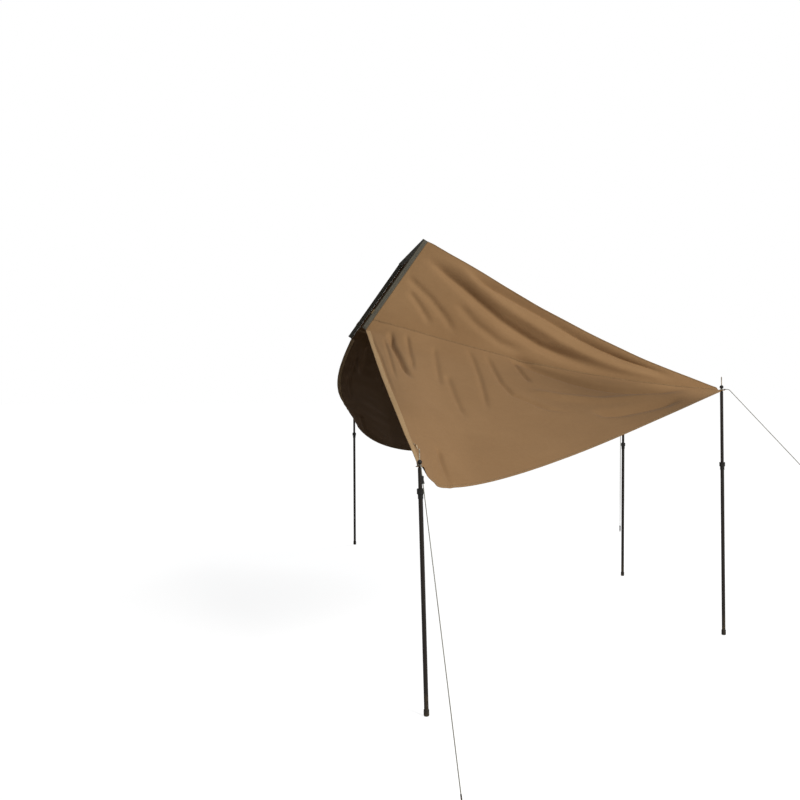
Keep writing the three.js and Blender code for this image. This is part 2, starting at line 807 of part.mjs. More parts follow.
// A ring of line round Z, by the radius of the hole in it.
const lineRing = (hole) =>
  solid(new THREE.TorusGeometry(hole + lineRadius, lineRadius, lineSides, roundSteps));

// The tensioner is a flat rounded bar that the line runs through, set round Z.
function tensioner() {
  const outline = new THREE.Shape();
  const end = tensionerThickness / 2;
  const flat = tensionerWidth / 2 - end;
  outline.absarc(flat, 0, end, -Math.PI / 2, Math.PI / 2, false);
  outline.absarc(-flat, 0, end, Math.PI / 2, (3 * Math.PI) / 2, false);
  outline.closePath();
  const hole = new THREE.Path();
  hole.absarc(0, 0, lineRadius + fitGap, 0, 2 * Math.PI, true);
  outline.holes.push(hole);
  const settings = { depth: tensionerLength, bevelEnabled: false, curveSegments: arcSteps };
  return solid(new THREE.ExtrudeGeometry(outline, settings).translate(0, 0, -tensionerLength / 2));
}

// A tight line leaves its ring level, clears the corner patch and then runs straight to its loop.
function addTightLine(pole, slopeShares, reachOf) {
  const down = vec(...slopeShares).normalize();
  const level = down.clone().addScaledVector(pole.axis, -down.dot(pole.axis)).normalize();
  const centre = pole.eyelet.clone().addScaledVector(pole.axis, eyeHeight);
  const outward = (distance) => centre.clone().addScaledVector(level, distance);
  const corner = outward(patchRadius + 2 * lineBend);
  const after = corner.clone().addScaledVector(down, lineBend);
  const bend = new THREE.QuadraticBezierCurve3(outward(patchRadius + lineBend), corner, after);
  const reach = reachOf(after, down);
  const end = after.clone().addScaledVector(down, reach);
  const ringEdge = eyeInnerRadius + 2 * lineRadius + fitGap;
  const route = [outward(ringEdge), ...bend.getPoints(arcSteps - 1), end];
  addLinePiece(canopy, `${pole.name}_guy_line`, cordAlong(route), cordFinish);
  const eye = lineRing(eyeInnerRadius).translate(0, 0, pole.length + eyeHeight);
  addLinePiece(pole.group, `${pole.name}_guy_eye`, eye, cordFinish);
  const loopTurn = new THREE.Quaternion().setFromUnitVectors(UP, down.clone().cross(UP).normalize());
  const loopPlace = end.clone().addScaledVector(down, loopRadius + lineRadius + fitGap);
  const loop = lineRing(loopRadius - lineRadius).applyQuaternion(loopTurn);
  addLinePiece(canopy, `${pole.name}_guy_loop`, loop.translate(...loopPlace.toArray()), cordFinish);
  return { after, down };
}

const loopToGround = (after, down) => {
  const loopEdge = loopRadius + lineRadius;
  return (after.z - loopEdge - seatGap) / -down.z - loopEdge - fitGap;
};
const rearLine = addTightLine(poles.rear_right, rearLineSlopeShares, loopToGround);
const tensionerPlace = rearLine.after.clone().addScaledVector(rearLine.down, tensionerDrop);
const tensionerTurn = new THREE.Quaternion().setFromUnitVectors(UP, rearLine.down);
const tightTensioner = tensioner().applyQuaternion(tensionerTurn).translate(...tensionerPlace.toArray());
addLinePiece(canopy, 'rear_right_tensioner', tightTensioner, darkPlastic);
addTightLine(poles.front_right, frontLineSlopeShares, () => frontLineReach);

// The loose line is tied round its pole's upper tube and hangs beside the pole.
const loosePole = poles.front_left;
const tieHeight = loosePole.length + headCentre - headBand - tieDrop;
const tieHole = upperTubeRadius + fitGap;
const tie = lineRing(tieHole).translate(0, 0, tieHeight);
addLinePiece(loosePole.group, 'front_left_guy_tie', tie, cordFinish);
const looseBend = new THREE.QuadraticBezierCurve3(
  vec(-tieHole - 2 * lineRadius - fitGap, 0, tieHeight),
  vec(-looseLineOffset, 0, tieHeight),
  vec(-looseLineOffset, 0, tieHeight - lineBend),
);
const looseRoute = [...looseBend.getPoints(arcSteps), vec(-looseLineOffset, 0, looseLineEnd)];
addLinePiece(loosePole.group, 'front_left_guy_line', cordAlong(looseRoute), cordFinish);
const looseTensioner = tensioner().rotateZ(Math.PI / 2);
looseTensioner.translate(-looseLineOffset, 0, looseLineEnd + looseLineTail + tensionerLength / 2);
addLinePiece(loosePole.group, 'front_left_tensioner', looseTensioner, darkPlastic);

// The origin is the middle of the base of everything but the lines and what is on them.
const model = new THREE.Group();
model.add(canopy);
model.updateMatrixWorld(true);
const bounds = new THREE.Box3();
model.traverse((piece) => {
  if (piece.isMesh && !onLines.includes(piece)) bounds.expandByObject(piece, true);
});
const middle = bounds.getCenter(vec(0, 0, 0));
canopy.position.set(-middle.x, -middle.y, -bounds.min.z);

export default model;
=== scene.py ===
# %% [markdown]
# # A sun canopy for a roof tent
# The real object is a tan canvas sail. It zips to the open front of a tent on a car's roof and
# stands on four telescopic poles, held by thin guy lines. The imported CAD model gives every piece
# its place and says how the poles slide and tilt. This file dresses that model: it keeps each
# piece where the CAD has it and gives it its folds, stitches, turned shapes and finishes.

import math

import bpy
import numpy as np
from mathutils import Matrix, Vector


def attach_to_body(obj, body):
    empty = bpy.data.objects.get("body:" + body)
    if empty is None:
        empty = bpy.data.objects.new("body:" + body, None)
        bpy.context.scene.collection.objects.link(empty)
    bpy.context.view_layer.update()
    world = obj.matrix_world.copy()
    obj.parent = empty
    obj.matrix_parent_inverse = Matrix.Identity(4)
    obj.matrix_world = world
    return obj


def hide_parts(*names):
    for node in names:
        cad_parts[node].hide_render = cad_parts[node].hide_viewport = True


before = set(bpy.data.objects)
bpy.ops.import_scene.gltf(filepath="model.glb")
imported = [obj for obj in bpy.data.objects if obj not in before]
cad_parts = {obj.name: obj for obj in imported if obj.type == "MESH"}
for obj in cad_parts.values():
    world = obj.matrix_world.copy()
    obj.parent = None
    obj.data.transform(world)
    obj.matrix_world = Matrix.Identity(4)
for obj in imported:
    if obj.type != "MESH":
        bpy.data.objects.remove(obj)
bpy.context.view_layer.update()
scene = bpy.context.scene


def shown(name, data):
    """A new object at the origin, linked to the scene."""
    made = bpy.data.objects.new(name, data)
    scene.collection.objects.link(made)
    return made


# %% [markdown]
# ## Camera
# The photograph was taken from about eye height with the camera held level, so uprights stay
# upright in it. A camera like that only needs a place, a turn about Z and a lens. The picture was
# cropped a little off its middle, and a small shift stands for that crop. Tilting the camera
# instead would make the poles converge.

# %% Set up the camera
camera_data = bpy.data.cameras.new("camera")
camera = shown("camera", camera_data)
camera.location = (-1.81088, -7.58, 1.815)
camera.rotation_euler = (math.radians(90), 0, math.radians(-7))
camera_data.sensor_width = 36
camera_data.lens = 41.9175
camera_data.shift_y = -0.02625
scene.camera = camera
scene.view_settings.view_transform = "Standard"
print("camera at", tuple(camera.location), "lens", camera_data.lens)

# %% [markdown]
# ## How the canopy is pitched
# Everything hangs from a few points: the tie-on line on the tent, and the four eyelets that the
# poles' spikes go through. Their places repeat the CAD model's, in metres. Each pole leans a
# little, so its own upright direction runs from its foot to its eyelet.

# %% The tie-on line, the eyelets and the poles
MIDDLE = -1.2258758  # x of the tie-on line's lower ends, from which the poles' places count
UP = np.array([0.0, 0.0, 1.0])
ATTACH_HALF_WIDTH, ATTACH_LOW, ATTACH_HIGH, ATTACH_LEAN = 0.75, 2.176, 2.834, 0.461
SIGN = {"right": -1.0, "left": 1.0}
POLES = {
    "rear_right": (0.168, -2.62, -0.037, 1.345),
    "rear_left": (0.168, 2.62, -0.007, 1.41),
    "front_right": (2.5, -1.3, -0.016, 1.735),
    "front_left": (2.5, 0.7, 0.008, 1.735),
}
FOOT, EYELET, AXIS, LENGTH = {}, {}, {}, {}
FOOT_EDGE = 0.009  # half the foot's flat underside, on whose edge a leaning pole stands
for name, (out, across, lean, height) in POLES.items():
    FOOT[name] = np.array([out + MIDDLE, across, FOOT_EDGE * abs(lean) / height])
    EYELET[name] = np.array([out + lean + MIDDLE, across, height])
    LENGTH[name] = float(np.linalg.norm(EYELET[name] - FOOT[name]))
    AXIS[name] = (EYELET[name] - FOOT[name]) / LENGTH[name]


def unit(v):
    return v / np.maximum(np.linalg.norm(v, axis=-1, keepdims=True), 1e-12)


def lerp(a, b, share):
    return a + (b - a) * np.asarray(share, float)[..., None]


def smooth(x, low, high):
    t = np.clip((np.asarray(x, float) - low) / (high - low), 0, 1)
    return t * t * (3 - 2 * t)


def turned_up(direction):
    """The rotation that lays Z along a direction."""
    return Vector((0, 0, 1)).rotation_difference(Vector(direction)).to_matrix().to_4x4()


def pole_matrix(name, height=0.0):
    """Stands a piece made round Z on its pole, at a height above the foot."""
    return Matrix.Translation(FOOT[name] + AXIS[name] * height) @ turned_up(AXIS[name])


def dress(piece, body, slot, *nodes):
    """Says which body carries a piece and which CAD solids it stands for. Its slot is not used."""
    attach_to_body(piece, body)
    if nodes:
        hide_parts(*nodes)
    return piece


print({name: round(length, 4) for name, length in LENGTH.items()})

# %% [markdown]
# ## A mesh from rows of points
# Cloth and rope are shapes that a formula gives more exactly than a modelling tool. Both are a
# grid of points: rows that follow the piece, and places across each row. One helper turns such a
# grid into faces and lays its UV map in real metres, so that threads and stitches can later be
# drawn at their true size.

# %% Grid helpers


def link_mesh(name, points, faces, corner_uvs, materials, face_material=None):
    mesh = bpy.data.meshes.new(name)
    mesh.from_pydata(points.tolist(), [], faces)
    mesh.uv_layers.new(name="UVMap").data.foreach_set("uv", corner_uvs.ravel())
    for material in materials:
        mesh.materials.append(material)
    if face_material is not None:
        mesh.polygons.foreach_set("material_index", face_material)
    mesh.polygons.foreach_set("use_smooth", [True] * len(mesh.polygons))
    mesh.update()
    return shown(name, mesh)


def cell_corners(rows, columns):
    """The rows and the columns of every cell's four corners."""
    i, j = (k.ravel() for k in np.meshgrid(np.arange(rows), np.arange(columns), indexing="ij"))
    return np.stack([i, i + 1, i + 1, i], 1), np.stack([j, j, j + 1, j + 1], 1)


def uv_map(u, v):
    return np.stack(np.broadcast_arrays(u, v), -1)


def tube(name, points, uv, material, closed=False):
    """rows x ring points. The ring always closes on itself, and the ends are capped unless closed."""
    rows, ring = points.shape[:2]
    i, j = cell_corners(rows if closed else rows - 1, ring)
    faces = ((i % rows) * ring + j % ring).tolist()
    corner_uvs = uv[i, j].reshape(-1, 2)
    if not closed:
        faces += [list(range(ring)), [(rows - 1) * ring + k for k in range(ring)][::-1]]
        corner_uvs = np.concatenate([corner_uvs, uv[0, :ring], uv[-1, :ring][::-1]])
    return link_mesh(name, points.reshape(-1, 3), faces, corner_uvs, [material])


print("a grid of 2 by 3 cells gets", len(cell_corners(2, 3)[0]), "faces")

# %% [markdown]
# ## The guy lines
# The lines come first, because they reach further than anything else. Each is a braided cord
# 5 mm thick. Two are pulled tight from an eye round the spike, one to the ground and one out to a
# loop just past the photograph's edge. The third is tied round its pole and hangs down beside it.
# A cord can be a curve with a bevel or a tube built along a route. The tube is chosen because it
# carries a UV map that winds with the cord, and the braid is drawn on that.

# %% A cord along a route
LINE, TWINE = 0.0025, 0.0007  # radii of the lines and of the twine on their splices
TWINE_PITCH = 2 * TWINE * 1.02  # a hair more than the twine is thick


def bezier(a, b, c, steps):
    t = np.linspace(0, 1, steps + 1)[:, None]
    return a * (1 - t) ** 2 + 2 * b * t * (1 - t) + c * t**2


def steps_of(route):
    """The distance from each point of a route to the next."""
    return np.linalg.norm(np.diff(route, axis=0), axis=1)


def passed(steps):
    """How far along its route each point is."""
    return np.concatenate([[0], np.cumsum(steps)])


def even(route, step):
    """The same route with its points close together."""
    route = np.asarray(route, float)
    far = passed(steps_of(route))
    wanted = np.unique(np.concatenate([far, np.arange(0, far[-1], step)]))
    wanted = wanted[np.concatenate([[True], np.diff(wanted) > step / 50])]
    return np.stack([np.interp(wanted, far, route[:, k]) for k in range(3)], 1)


def cord_frames(route, closed=False):
    if closed:
        along = unit(np.roll(route, -1, 0) - np.roll(route, 1, 0))
    else:
        along = unit(np.gradient(route, axis=0))
    side = np.cross(along[0], [1.0, 0, 0] if abs(along[0][0]) < 0.8 else [0, 1.0, 0])
    sides = []
    for direction in along:
        side = unit(side - direction * np.dot(side, direction))
        sides.append(side)
    sides = np.array(sides)
    return sides, np.cross(along, sides)


def cord_piece(name, route, radius, material, closed=False, sides=12):
    a, b = cord_frames(route, closed)
    turn = np.linspace(0, 2 * np.pi, sides, endpoint=False)
    ring = a[:, None] * np.cos(turn)[None, :, None] + b[:, None] * np.sin(turn)[None, :, None]
    far = passed(steps_of(np.append(route, route[:1], 0) if closed else route))
    uv = uv_map(np.linspace(0, 1, sides + 1), far[:, None])
    return tube(name, route[:, None] + ring * radius, uv, material, closed)


def circle(centre, axis, radius, steps=40):
    axis = unit(np.asarray(axis, float))
    a = unit(np.cross(axis, [0, 0, 1.0] if abs(axis[2]) < 0.8 else [1.0, 0, 0]))
    b = np.cross(axis, a)
    turn = np.linspace(0, 2 * np.pi, steps, endpoint=False)[:, None]
    return centre + radius * (a * np.cos(turn) + b * np.sin(turn))


def whipping(name, start, direction, length, material):
    """Twine wound tightly round a line, which closes the splice of an eye."""
    turns = length / TWINE_PITCH
    t = np.linspace(0, 1, int(turns * 14))
    a, b = cord_frames(np.array([start, start + direction]))
    spin = (t * turns * 2 * np.pi)[:, None]
    route = start + direction * (t * length)[:, None]
    route = route + (LINE + TWINE) * (a[0] * np.cos(spin) + b[0] * np.sin(spin))
    return cord_piece(name, route, TWINE, material, sides=6)


print("a centimetre of whipping takes", round(0.01 / TWINE_PITCH, 1), "turns of twine")

# %% [markdown]
# ## Finishes
# A finish is a small recipe of nodes. Written out by hand such recipes get long, so one class
# stands for a value on its way through the recipe and turns ordinary arithmetic into Math nodes.
# A second holds a node tree and makes every other node with a single method. A third is such a
# tree with a material and its shader.

# %% The classes behind every finish


class Wire:
    """A value in a finish. Arithmetic on it adds the Math nodes."""

    def __init__(self, finish, socket):
        self.finish, self.socket = finish, socket

    def math(self, operation, *values):
        return self.finish.node("ShaderNodeMath", {"operation": operation}, dict(enumerate(values)))

    def __add__(self, other): return self.math("ADD", self, other)
    def __radd__(self, other): return self.math("ADD", other, self)
    def __sub__(self, other): return self.math("SUBTRACT", self, other)
    def __rsub__(self, other): return self.math("SUBTRACT", other, self)
    def __mul__(self, other): return self.math("MULTIPLY", self, other)
    def __rmul__(self, other): return self.math("MULTIPLY", other, self)
    def __mod__(self, other): return self.math("FLOORED_MODULO", self, other)
    def __gt__(self, other): return self.math("GREATER_THAN", self, other)
    def __lt__(self, other): return self.math("LESS_THAN", self, other)
    def __abs__(self): return self.math("ABSOLUTE", self)
    def sine(self): return self.math("SINE", self)
    def over(self, other): return self.math("MAXIMUM", self, other)


class Nodes:
    """A node tree whose every node comes from one method."""

    def __init__(self, tree):
        self.tree = tree
        self.tree.nodes.clear()

    def plug(self, socket, value):
        if isinstance(value, Wire):
            self.tree.links.new(value.socket, socket)
        else:
            socket.default_value = value

    def node(self, kind, settings=None, inputs=None, output=0):
        made = self.tree.nodes.new(kind)
        for key, value in (settings or {}).items():
            setattr(made, key, value)
        for key, value in (inputs or {}).items():
            self.plug(made.inputs[key], value)
        return Wire(self, made.outputs[output])

    def seen(self):
        """1 for the camera and for what mirrors, 0 for all other light."""
        rays = [self.node("ShaderNodeLightPath", output=f"Is {kind} Ray") for kind in ("Camera", "Glossy")]
        return rays[0].over(rays[1])


class Finish(Nodes):
    """One material: a Principled shader and what feeds it."""

    def __init__(self, name, **constants):
        self.material = bpy.data.materials.new(name)
        self.material.use_nodes = True
        super().__init__(self.material.node_tree)
        self.shader = self.tree.nodes.new("ShaderNodeBsdfPrincipled")
        self.output = self.tree.nodes.new("ShaderNodeOutputMaterial")
        self.tree.links.new(self.shader.outputs[0], self.output.inputs["Surface"])
        self.set(**constants)

    def set(self, **values):
        for key, value in values.items():
            self.plug(self.shader.inputs[key.replace("_", " ")], value)

    def place(self):
        return self.node("ShaderNodeTexCoord", output="Object")

    def parts(self, vector):
        made = self.node("ShaderNodeSeparateXYZ", None, {0: vector}).socket.node
        return [Wire(self, output) for output in made.outputs]

    def xyz(self):
        return self.parts(self.place())

    def uv(self):
        """Metres along and across a piece, from its UV map."""
        return self.parts(self.node("ShaderNodeUVMap", {"uv_map": "UVMap"}))[:2]

    def ramp(self, value, low, high):
        """0 below low, 1 above high, and even in between."""
        values = {0: value, 1: low, 2: high, 3: 0.0, 4: 1.0}
        return self.node("ShaderNodeMapRange", {"clamp": True}, values)

    def stretch(self, *scale):
        values = {"Vector": self.place(), "Scale": scale}
        return self.node("ShaderNodeMapping", {"vector_type": "POINT"}, values)

    def noise(self, scale, detail=3.0, vector=None, rough=0.5):
        values = {"Vector": vector or self.place(), "Scale": scale, "Detail": detail, "Roughness": rough}
        return self.node("ShaderNodeTexNoise", {"noise_dimensions": "3D"}, values)

    def mix(self, share, first, second, kind="MIX"):
        settings = {"data_type": "RGBA", "blend_type": kind, "clamp_factor": True}
        return self.node("ShaderNodeMix", settings, {0: share, 6: first, 7: second}, output=2)

    def bump(self, height, distance):
        return self.node("ShaderNodeBump", None, {"Height": height, "Distance": distance, "Strength": 1.0})


def colour(*rgb):
    """A colour from its 0-255 numbers, for a socket."""
    return (*[((c / 255 + 0.055) / 1.055) ** 2.4 if c > 10 else c / 255 / 12.92 for c in rgb], 1.0)


def waves(place, pitch):
    """A sine that repeats once a pitch."""
    return (place * (2 * math.pi / pitch)).sine()


print("finish classes ready")

# %% [markdown]
# ## Braided cord
# A guy line is a sheath of fine strands braided round a core. On its UV map the strands are two
# sets of slanting lines that cross, which a pair of sines gives. They set both a small bump and a
# slightly darker colour between the strands. A thin twine is the same with a finer pitch.

# %% Cord finish


def braided(name, light, dark, pitch=0.006, strands=4, depth=0.0004):
    finish = Finish(name, Roughness=0.85, Sheen_Weight=0.2)
    around, along = finish.uv()
    lengthwise, roundwise = along * (2 * math.pi / pitch), around * (2 * math.pi * strands)
    strand = (lengthwise + roundwise).sine().over((lengthwise - roundwise).sine()) * 0.5 + 0.5
    wear = (finish.noise(9.0, 2.0) - 0.45) * 1.2
    dirty = finish.mix(wear, finish.mix(strand, dark, light), colour(96, 88, 72))
    finish.set(Base_Color=dirty, Normal=finish.bump(strand, depth))
    return finish.material


cord_finish = braided("braided cord", colour(146, 145, 133), colour(86, 84, 74))
twine_finish = braided("whipping twine", colour(70, 62, 52), colour(34, 30, 25), 0.0022, 2, 0.0002)
print(cord_finish.name, "and", twine_finish.name)

# %% [markdown]
# ## Laying the lines
# A tight line leaves its eye level, because it has to clear the corner's patch and the ball, and
# then runs straight down to its loop. The route repeats the CAD's, with more points in the bend.
# Each eye and loop is a ring of the same cord, closed by a whipping of dark twine.

# %% The two tight lines
EYE, LOOP = 0.0105, 0.022  # radii of the rings at a line's ends, to the cord's middle
GAP, GROUND_GAP = 0.0003, 0.0006  # between a line and its ring, and under the lowest ring
EYE_HEIGHT = 0.0063  # over the eyelet
BEND_FROM, BEND_AT, BEND = 0.037, 0.049, 0.012  # level from the spike, then down the line
EYE_WHIPPING, LOOP_WHIPPING = (0.0142, 0.014), (0.024, 0.022)  # start and length
STEP = 0.012  # between a line's points
lines = {}


def ring_of_cord(name, centre, axis, radius, steps=40, thickness=LINE):
    return cord_piece(name, circle(centre, axis, radius, steps), thickness, cord_finish, closed=True)


def tight_line(pole, slope, reach=None):
    down = unit(np.array(slope))
    level = unit(down - AXIS[pole] * np.dot(down, AXIS[pole]))
    centre = EYELET[pole] + AXIS[pole] * EYE_HEIGHT
    corner = centre + level * BEND_AT
    after = corner + down * BEND
    if reach is None:
        reach = (after[2] - LOOP - LINE - GROUND_GAP) / -down[2] - LOOP - LINE - GAP
    end = after + down * reach
    start = centre + level * (EYE + LINE + GAP)
    path = even([start, *bezier(centre + level * BEND_FROM, corner, after, 8), end], STEP)
    line = cord_piece(f"{pole}_line", path, LINE, cord_finish)
    eye = ring_of_cord(f"{pole}_eye", centre, AXIS[pole], EYE)
    loop = ring_of_cord(f"{pole}_loop", end + down * (LOOP + LINE + GAP), np.cross(down, UP), LOOP, 56)
    from_eye, eye_length = EYE_WHIPPING
    from_end, end_length = LOOP_WHIPPING
    first = whipping(f"{pole}_eye_whipping", centre + level * from_eye, level, eye_length, twine_finish)
    last = whipping(f"{pole}_loop_whipping", end - down * from_end, down, end_length, twine_finish)
    dress(line, "canopy", "guy_line", f"{pole}_guy_line")
    dress(eye, "canopy", "guy_line", f"{pole}_guy_eye")
    dress(loop, "canopy", "guy_line", f"{pole}_guy_loop")
    dress(first, "canopy", "guy_line")
    dress(last, "canopy", "guy_line")
    length = float(steps_of(path).sum())
    lines[pole] = (line, path, length, [eye, loop, first, last], after, down)
    print(pole, "line", round(length, 3), "m, ends at", end.round(3))


tight_line("rear_right", (0.02, -1.1, -1.36))
tight_line("front_right", (0.6, -0.29, -0.745), 0.83)

# %% [markdown]
# ## The loose line
# The fourth corner's line wasn't pegged out. It is tied round the upper tube just under the
# pole's head and hangs straight down beside the pole, with its tensioner near its lower end.

# %% The line that hangs
loose = "front_left"
HEAD_CENTRE = -0.01237074  # the middle of the pole's round head, under the eyelet
TIE_DROP, TIE = 0.032, 0.0138  # the tie's depth under that, and its radius round the tube
ASIDE, BOTTOM = 0.026, 0.402  # the line's distance from the pole's axis, and its end above the foot
STOPPER, STOPPER_CORD = 0.0028, 0.0024  # radii of the knot at its end
TIE_HEIGHT = LENGTH[loose] + HEAD_CENTRE - LINE - TIE_DROP
stand = np.array(pole_matrix(loose))


def on_pole(points):
    return np.asarray(points, float) @ stand[:3, :3].T + stand[:3, 3]


def hung(x, z):
    return np.array([x, 0.0, z])


bend = bezier(
    hung(-TIE - LINE - GAP, TIE_HEIGHT), hung(-ASIDE, TIE_HEIGHT), hung(-ASIDE, TIE_HEIGHT - BEND), 8
)
loose_path = even(on_pole([*bend, hung(-ASIDE, BOTTOM)]), STEP)
loose_line = cord_piece("front_left_line", loose_path, LINE, cord_finish)
tie = ring_of_cord("front_left_tie", on_pole(hung(0, TIE_HEIGHT)), AXIS[loose], TIE)
end_place = on_pole(hung(-ASIDE, BOTTOM + LINE))
stopper = ring_of_cord("front_left_line_end", end_place, AXIS[loose], STOPPER, 24, STOPPER_CORD)
dress(loose_line, "front_left_upper", "guy_line", "front_left_guy_line")
dress(tie, "front_left_upper", "guy_line", "front_left_guy_tie")
dress(stopper, "front_left_upper", "guy_line")
loose_length = float(steps_of(loose_path).sum())
print("loose line", round(loose_length, 3), "m")

# %% [markdown]
# ## Canvas
# The cloth is a heavy plain-woven cotton blend. Close up it is a grid of threads, a little uneven;
# from further off it is a matt tan with faint clouds of lighter and darker dye. Both come from
# the same recipe. The threads are drawn on the UV map in metres, so they run along the panel, and
# the clouds use object coordinates, so they carry on over the seams. Shade is painted into the
# colour as well: a low place is painted darker than a high one, and the cloth below the seam
# towards the front and a band just under the seam are painted darker, as painted shade. Rows of
# stitches are part of the recipe for seams and hems, where V is the distance across the strip.

# %% Canvas finishes
THREAD, STITCH = 0.0011, 0.0042  # pitches of the weave and of a row of stitches
# Colour multipliers of painted shade: on low places, below the seam towards the front, under the seam
SHADED, PAINTED_FRONT_SHADE, PAINTED_FOLD_SHADE = (0.82, 0.81, 0.80, 1), (0.76, 0.75, 0.74, 1), (0.80, 0.79, 0.78, 1)
SEAM_HEIGHT, SEAM_SLOPE = 2.0, 0.217  # where the side seam runs, as a line in x and z


def beat(along):
    """The distance from the middle between two stitches of a row."""
    return abs((along % STITCH) - STITCH / 2)


def canvas(name, light, dark, rows=(), crinkle=0.0006):
    finish = Finish(name, Roughness=0.9, Sheen_Weight=0.04, Sheen_Roughness=0.5, Specular_IOR_Level=0.15)
    along, across = finish.uv()
    slub = finish.noise(1.0, 1.0, finish.stretch(260, 260, 260))
    weave = waves(along, THREAD) * waves(across, THREAD) * (0.6 + slub * 0.8)
    cloud = finish.noise(1.6, 4.0, rough=0.6)
    fleck = finish.noise(38.0, 3.0, rough=0.7)
    tone = finish.mix((cloud - 0.3) * 1.5 + (fleck - 0.5) * 0.5 + weave * 0.12, dark, light)
    x, _, z = finish.xyz()
    # Painted shade: low places are darker than high ones
    painted_light_by_height = finish.ramp(z + (cloud - 0.5) * 0.25, 1.15, 2.45)
    below = SEAM_HEIGHT - z - x * SEAM_SLOPE + (cloud - 0.5) * 0.12
    # Painted shade below the seam towards the front
    dust_and_painted_shade = finish.ramp(x + (cloud - 0.5) * 0.3, -0.55, 0.5) * finish.ramp(below, 0.03, 0.14)
    # Painted shade in a band just under the seam
    painted_fold_shade = finish.ramp(below, 0.04, 0.11) * (1 - finish.ramp(below, 0.2, 0.42))
    painted_fold_shade = finish.ramp(x, -0.35, 0.25) * painted_fold_shade
    for share, darker in ((1 - painted_light_by_height, SHADED), (dust_and_painted_shade, PAINTED_FRONT_SHADE), (painted_fold_shade, PAINTED_FOLD_SHADE)):
        tone = finish.mix(share, tone, darker, "MULTIPLY")
    height = weave * 0.00012 + finish.noise(70.0, 4.0, rough=0.62) * crinkle
    for row in rows:
        near, between = abs(across - row), beat(along)
        stitch = (near < 0.00075) * (between < 0.0015)
        hole = (near < 0.0007) * (between > 0.0017)
        tone = finish.mix(stitch, tone, colour(176, 146, 108))
        tone = finish.mix(hole, tone, colour(62, 47, 30))
        height = height + stitch * 0.0004 - hole * 0.0004
    finish.set(Base_Color=tone, Normal=finish.bump(height, 1.0))
    return finish.material


outer_canvas = canvas("canvas", colour(160, 127, 90), colour(146, 114, 79))
# The inner face is painted darker than the outer one: painted shade.
inner_canvas_painted_shade = canvas("canvas inside painted shade", colour(110, 82, 52), colour(98, 72, 45))
hem_finish = canvas("hem canvas", colour(162, 129, 92), colour(146, 115, 80), (0.004, 0.0135), 0.0009)
# The rear binding is painted lighter than the cloth: a painted highlight along the rear edge.
rear_binding_painted_highlight = canvas("edge binding painted highlight", colour(186, 156, 117), colour(168, 139, 101), (0.004, 0.0265))
# The seam is painted darker than the cloth: painted shade.
seam_painted_shade_finish = canvas("seam canvas painted shade", colour(142, 111, 77), colour(124, 96, 65), (-0.0045, 0.0045))
patch_finish = canvas("patch canvas", colour(163, 130, 93), colour(148, 116, 81), (0.0032, 0.0068))
print("canvas finishes ready")

# %% [markdown]
# ## The shape of the sail
# The cloth is cut in five panels: a roof, and on each side a narrow gable above a sewn seam and a
# large wing below it. A pulled sail is a shallow saddle between its tie-on points, which curves
# along its edges describe well: each sags between its ends, and the panel is spread between them.
# Modelling it by hand would lose the smooth tension, so these formulas are the CAD's own. One
# thing differs: the right wing's low edge turns up beside its rear pole, as in the photograph,
# where the CAD's edge runs straight.

# %% Edges and panels
SEAM_START, KNEE = 0.115, 0.045  # how far up the zip the seam starts, and the wing's edge on the zip
HEM_SAG, HEM_RISE = {"right": 0.19, "left": 0.45}, {"right": 0.36, "left": 0.6}
HEM_FALL = 1.15  # exponents: the low edge sags steeply from the rear pole and rises gently to the front
BOW, CORNER_TRIM = {"right": 0.012, "left": 0.15}, {"right": 1.0, "left": 0.0}
TRIM_REACH, NOTCH, NOTCH_PLACES = 0.024, 0.05, (0.038, 0.047, 0.09)  # of the turned-up corner
RIDGE_SAG, SEAM_SAG, DEEPEST_RIDGE, DEEPEST_SEAM, TIP_REACH = 0.075, 0.082, 0.57, 0.55, 0.016
ROOF_SAG, FRONT_SAG = 0.085, 0.055  # of the roof between its ridges, and more towards the front
EDGE_BLUR = 0.13  # the share of the rear edge over which its pull is averaged
SEATED, FREE = 0.0195, 0.042  # how near to an eyelet the cloth lies flat, and how far off it is free


def attach(side, share):
    low = np.array([MIDDLE, SIGN[side] * ATTACH_HALF_WIDTH, ATTACH_LOW])
    return lerp(low, low + [ATTACH_LEAN, 0, ATTACH_HIGH - ATTACH_LOW], share)


def corner_tip(eyelet, first, second):
    pull = unit((first - eyelet) * [1, 1, 0]) + unit((second - eyelet) * [1, 1, 0])
    return eyelet - unit(pull) * TIP_REACH


REAR_TIP, FRONT_TIP = {}, {}
for side, other in (("right", "left"), ("left", "right")):
    rear, front, opposite = EYELET[f"rear_{side}"], EYELET[f"front_{side}"], EYELET[f"front_{other}"]
    REAR_TIP[side] = corner_tip(rear, attach(side, 0), front)
    FRONT_TIP[side] = corner_tip(front, attach(side, 1), opposite)


def sag(share, deepest):
    return np.sin(np.pi * np.asarray(share, float) ** (math.log(0.5) / math.log(deepest)))


def lowered(points, drop):
    return points - np.asarray(drop)[..., None] * UP


def ridge(side, u):
    return lowered(lerp(attach(side, 1), FRONT_TIP[side], u), RIDGE_SAG * sag(u, DEEPEST_RIDGE))


def seam(side, u):
    return lowered(lerp(attach(side, SEAM_START), FRONT_TIP[side], u), SEAM_SAG * sag(u, DEEPEST_SEAM))


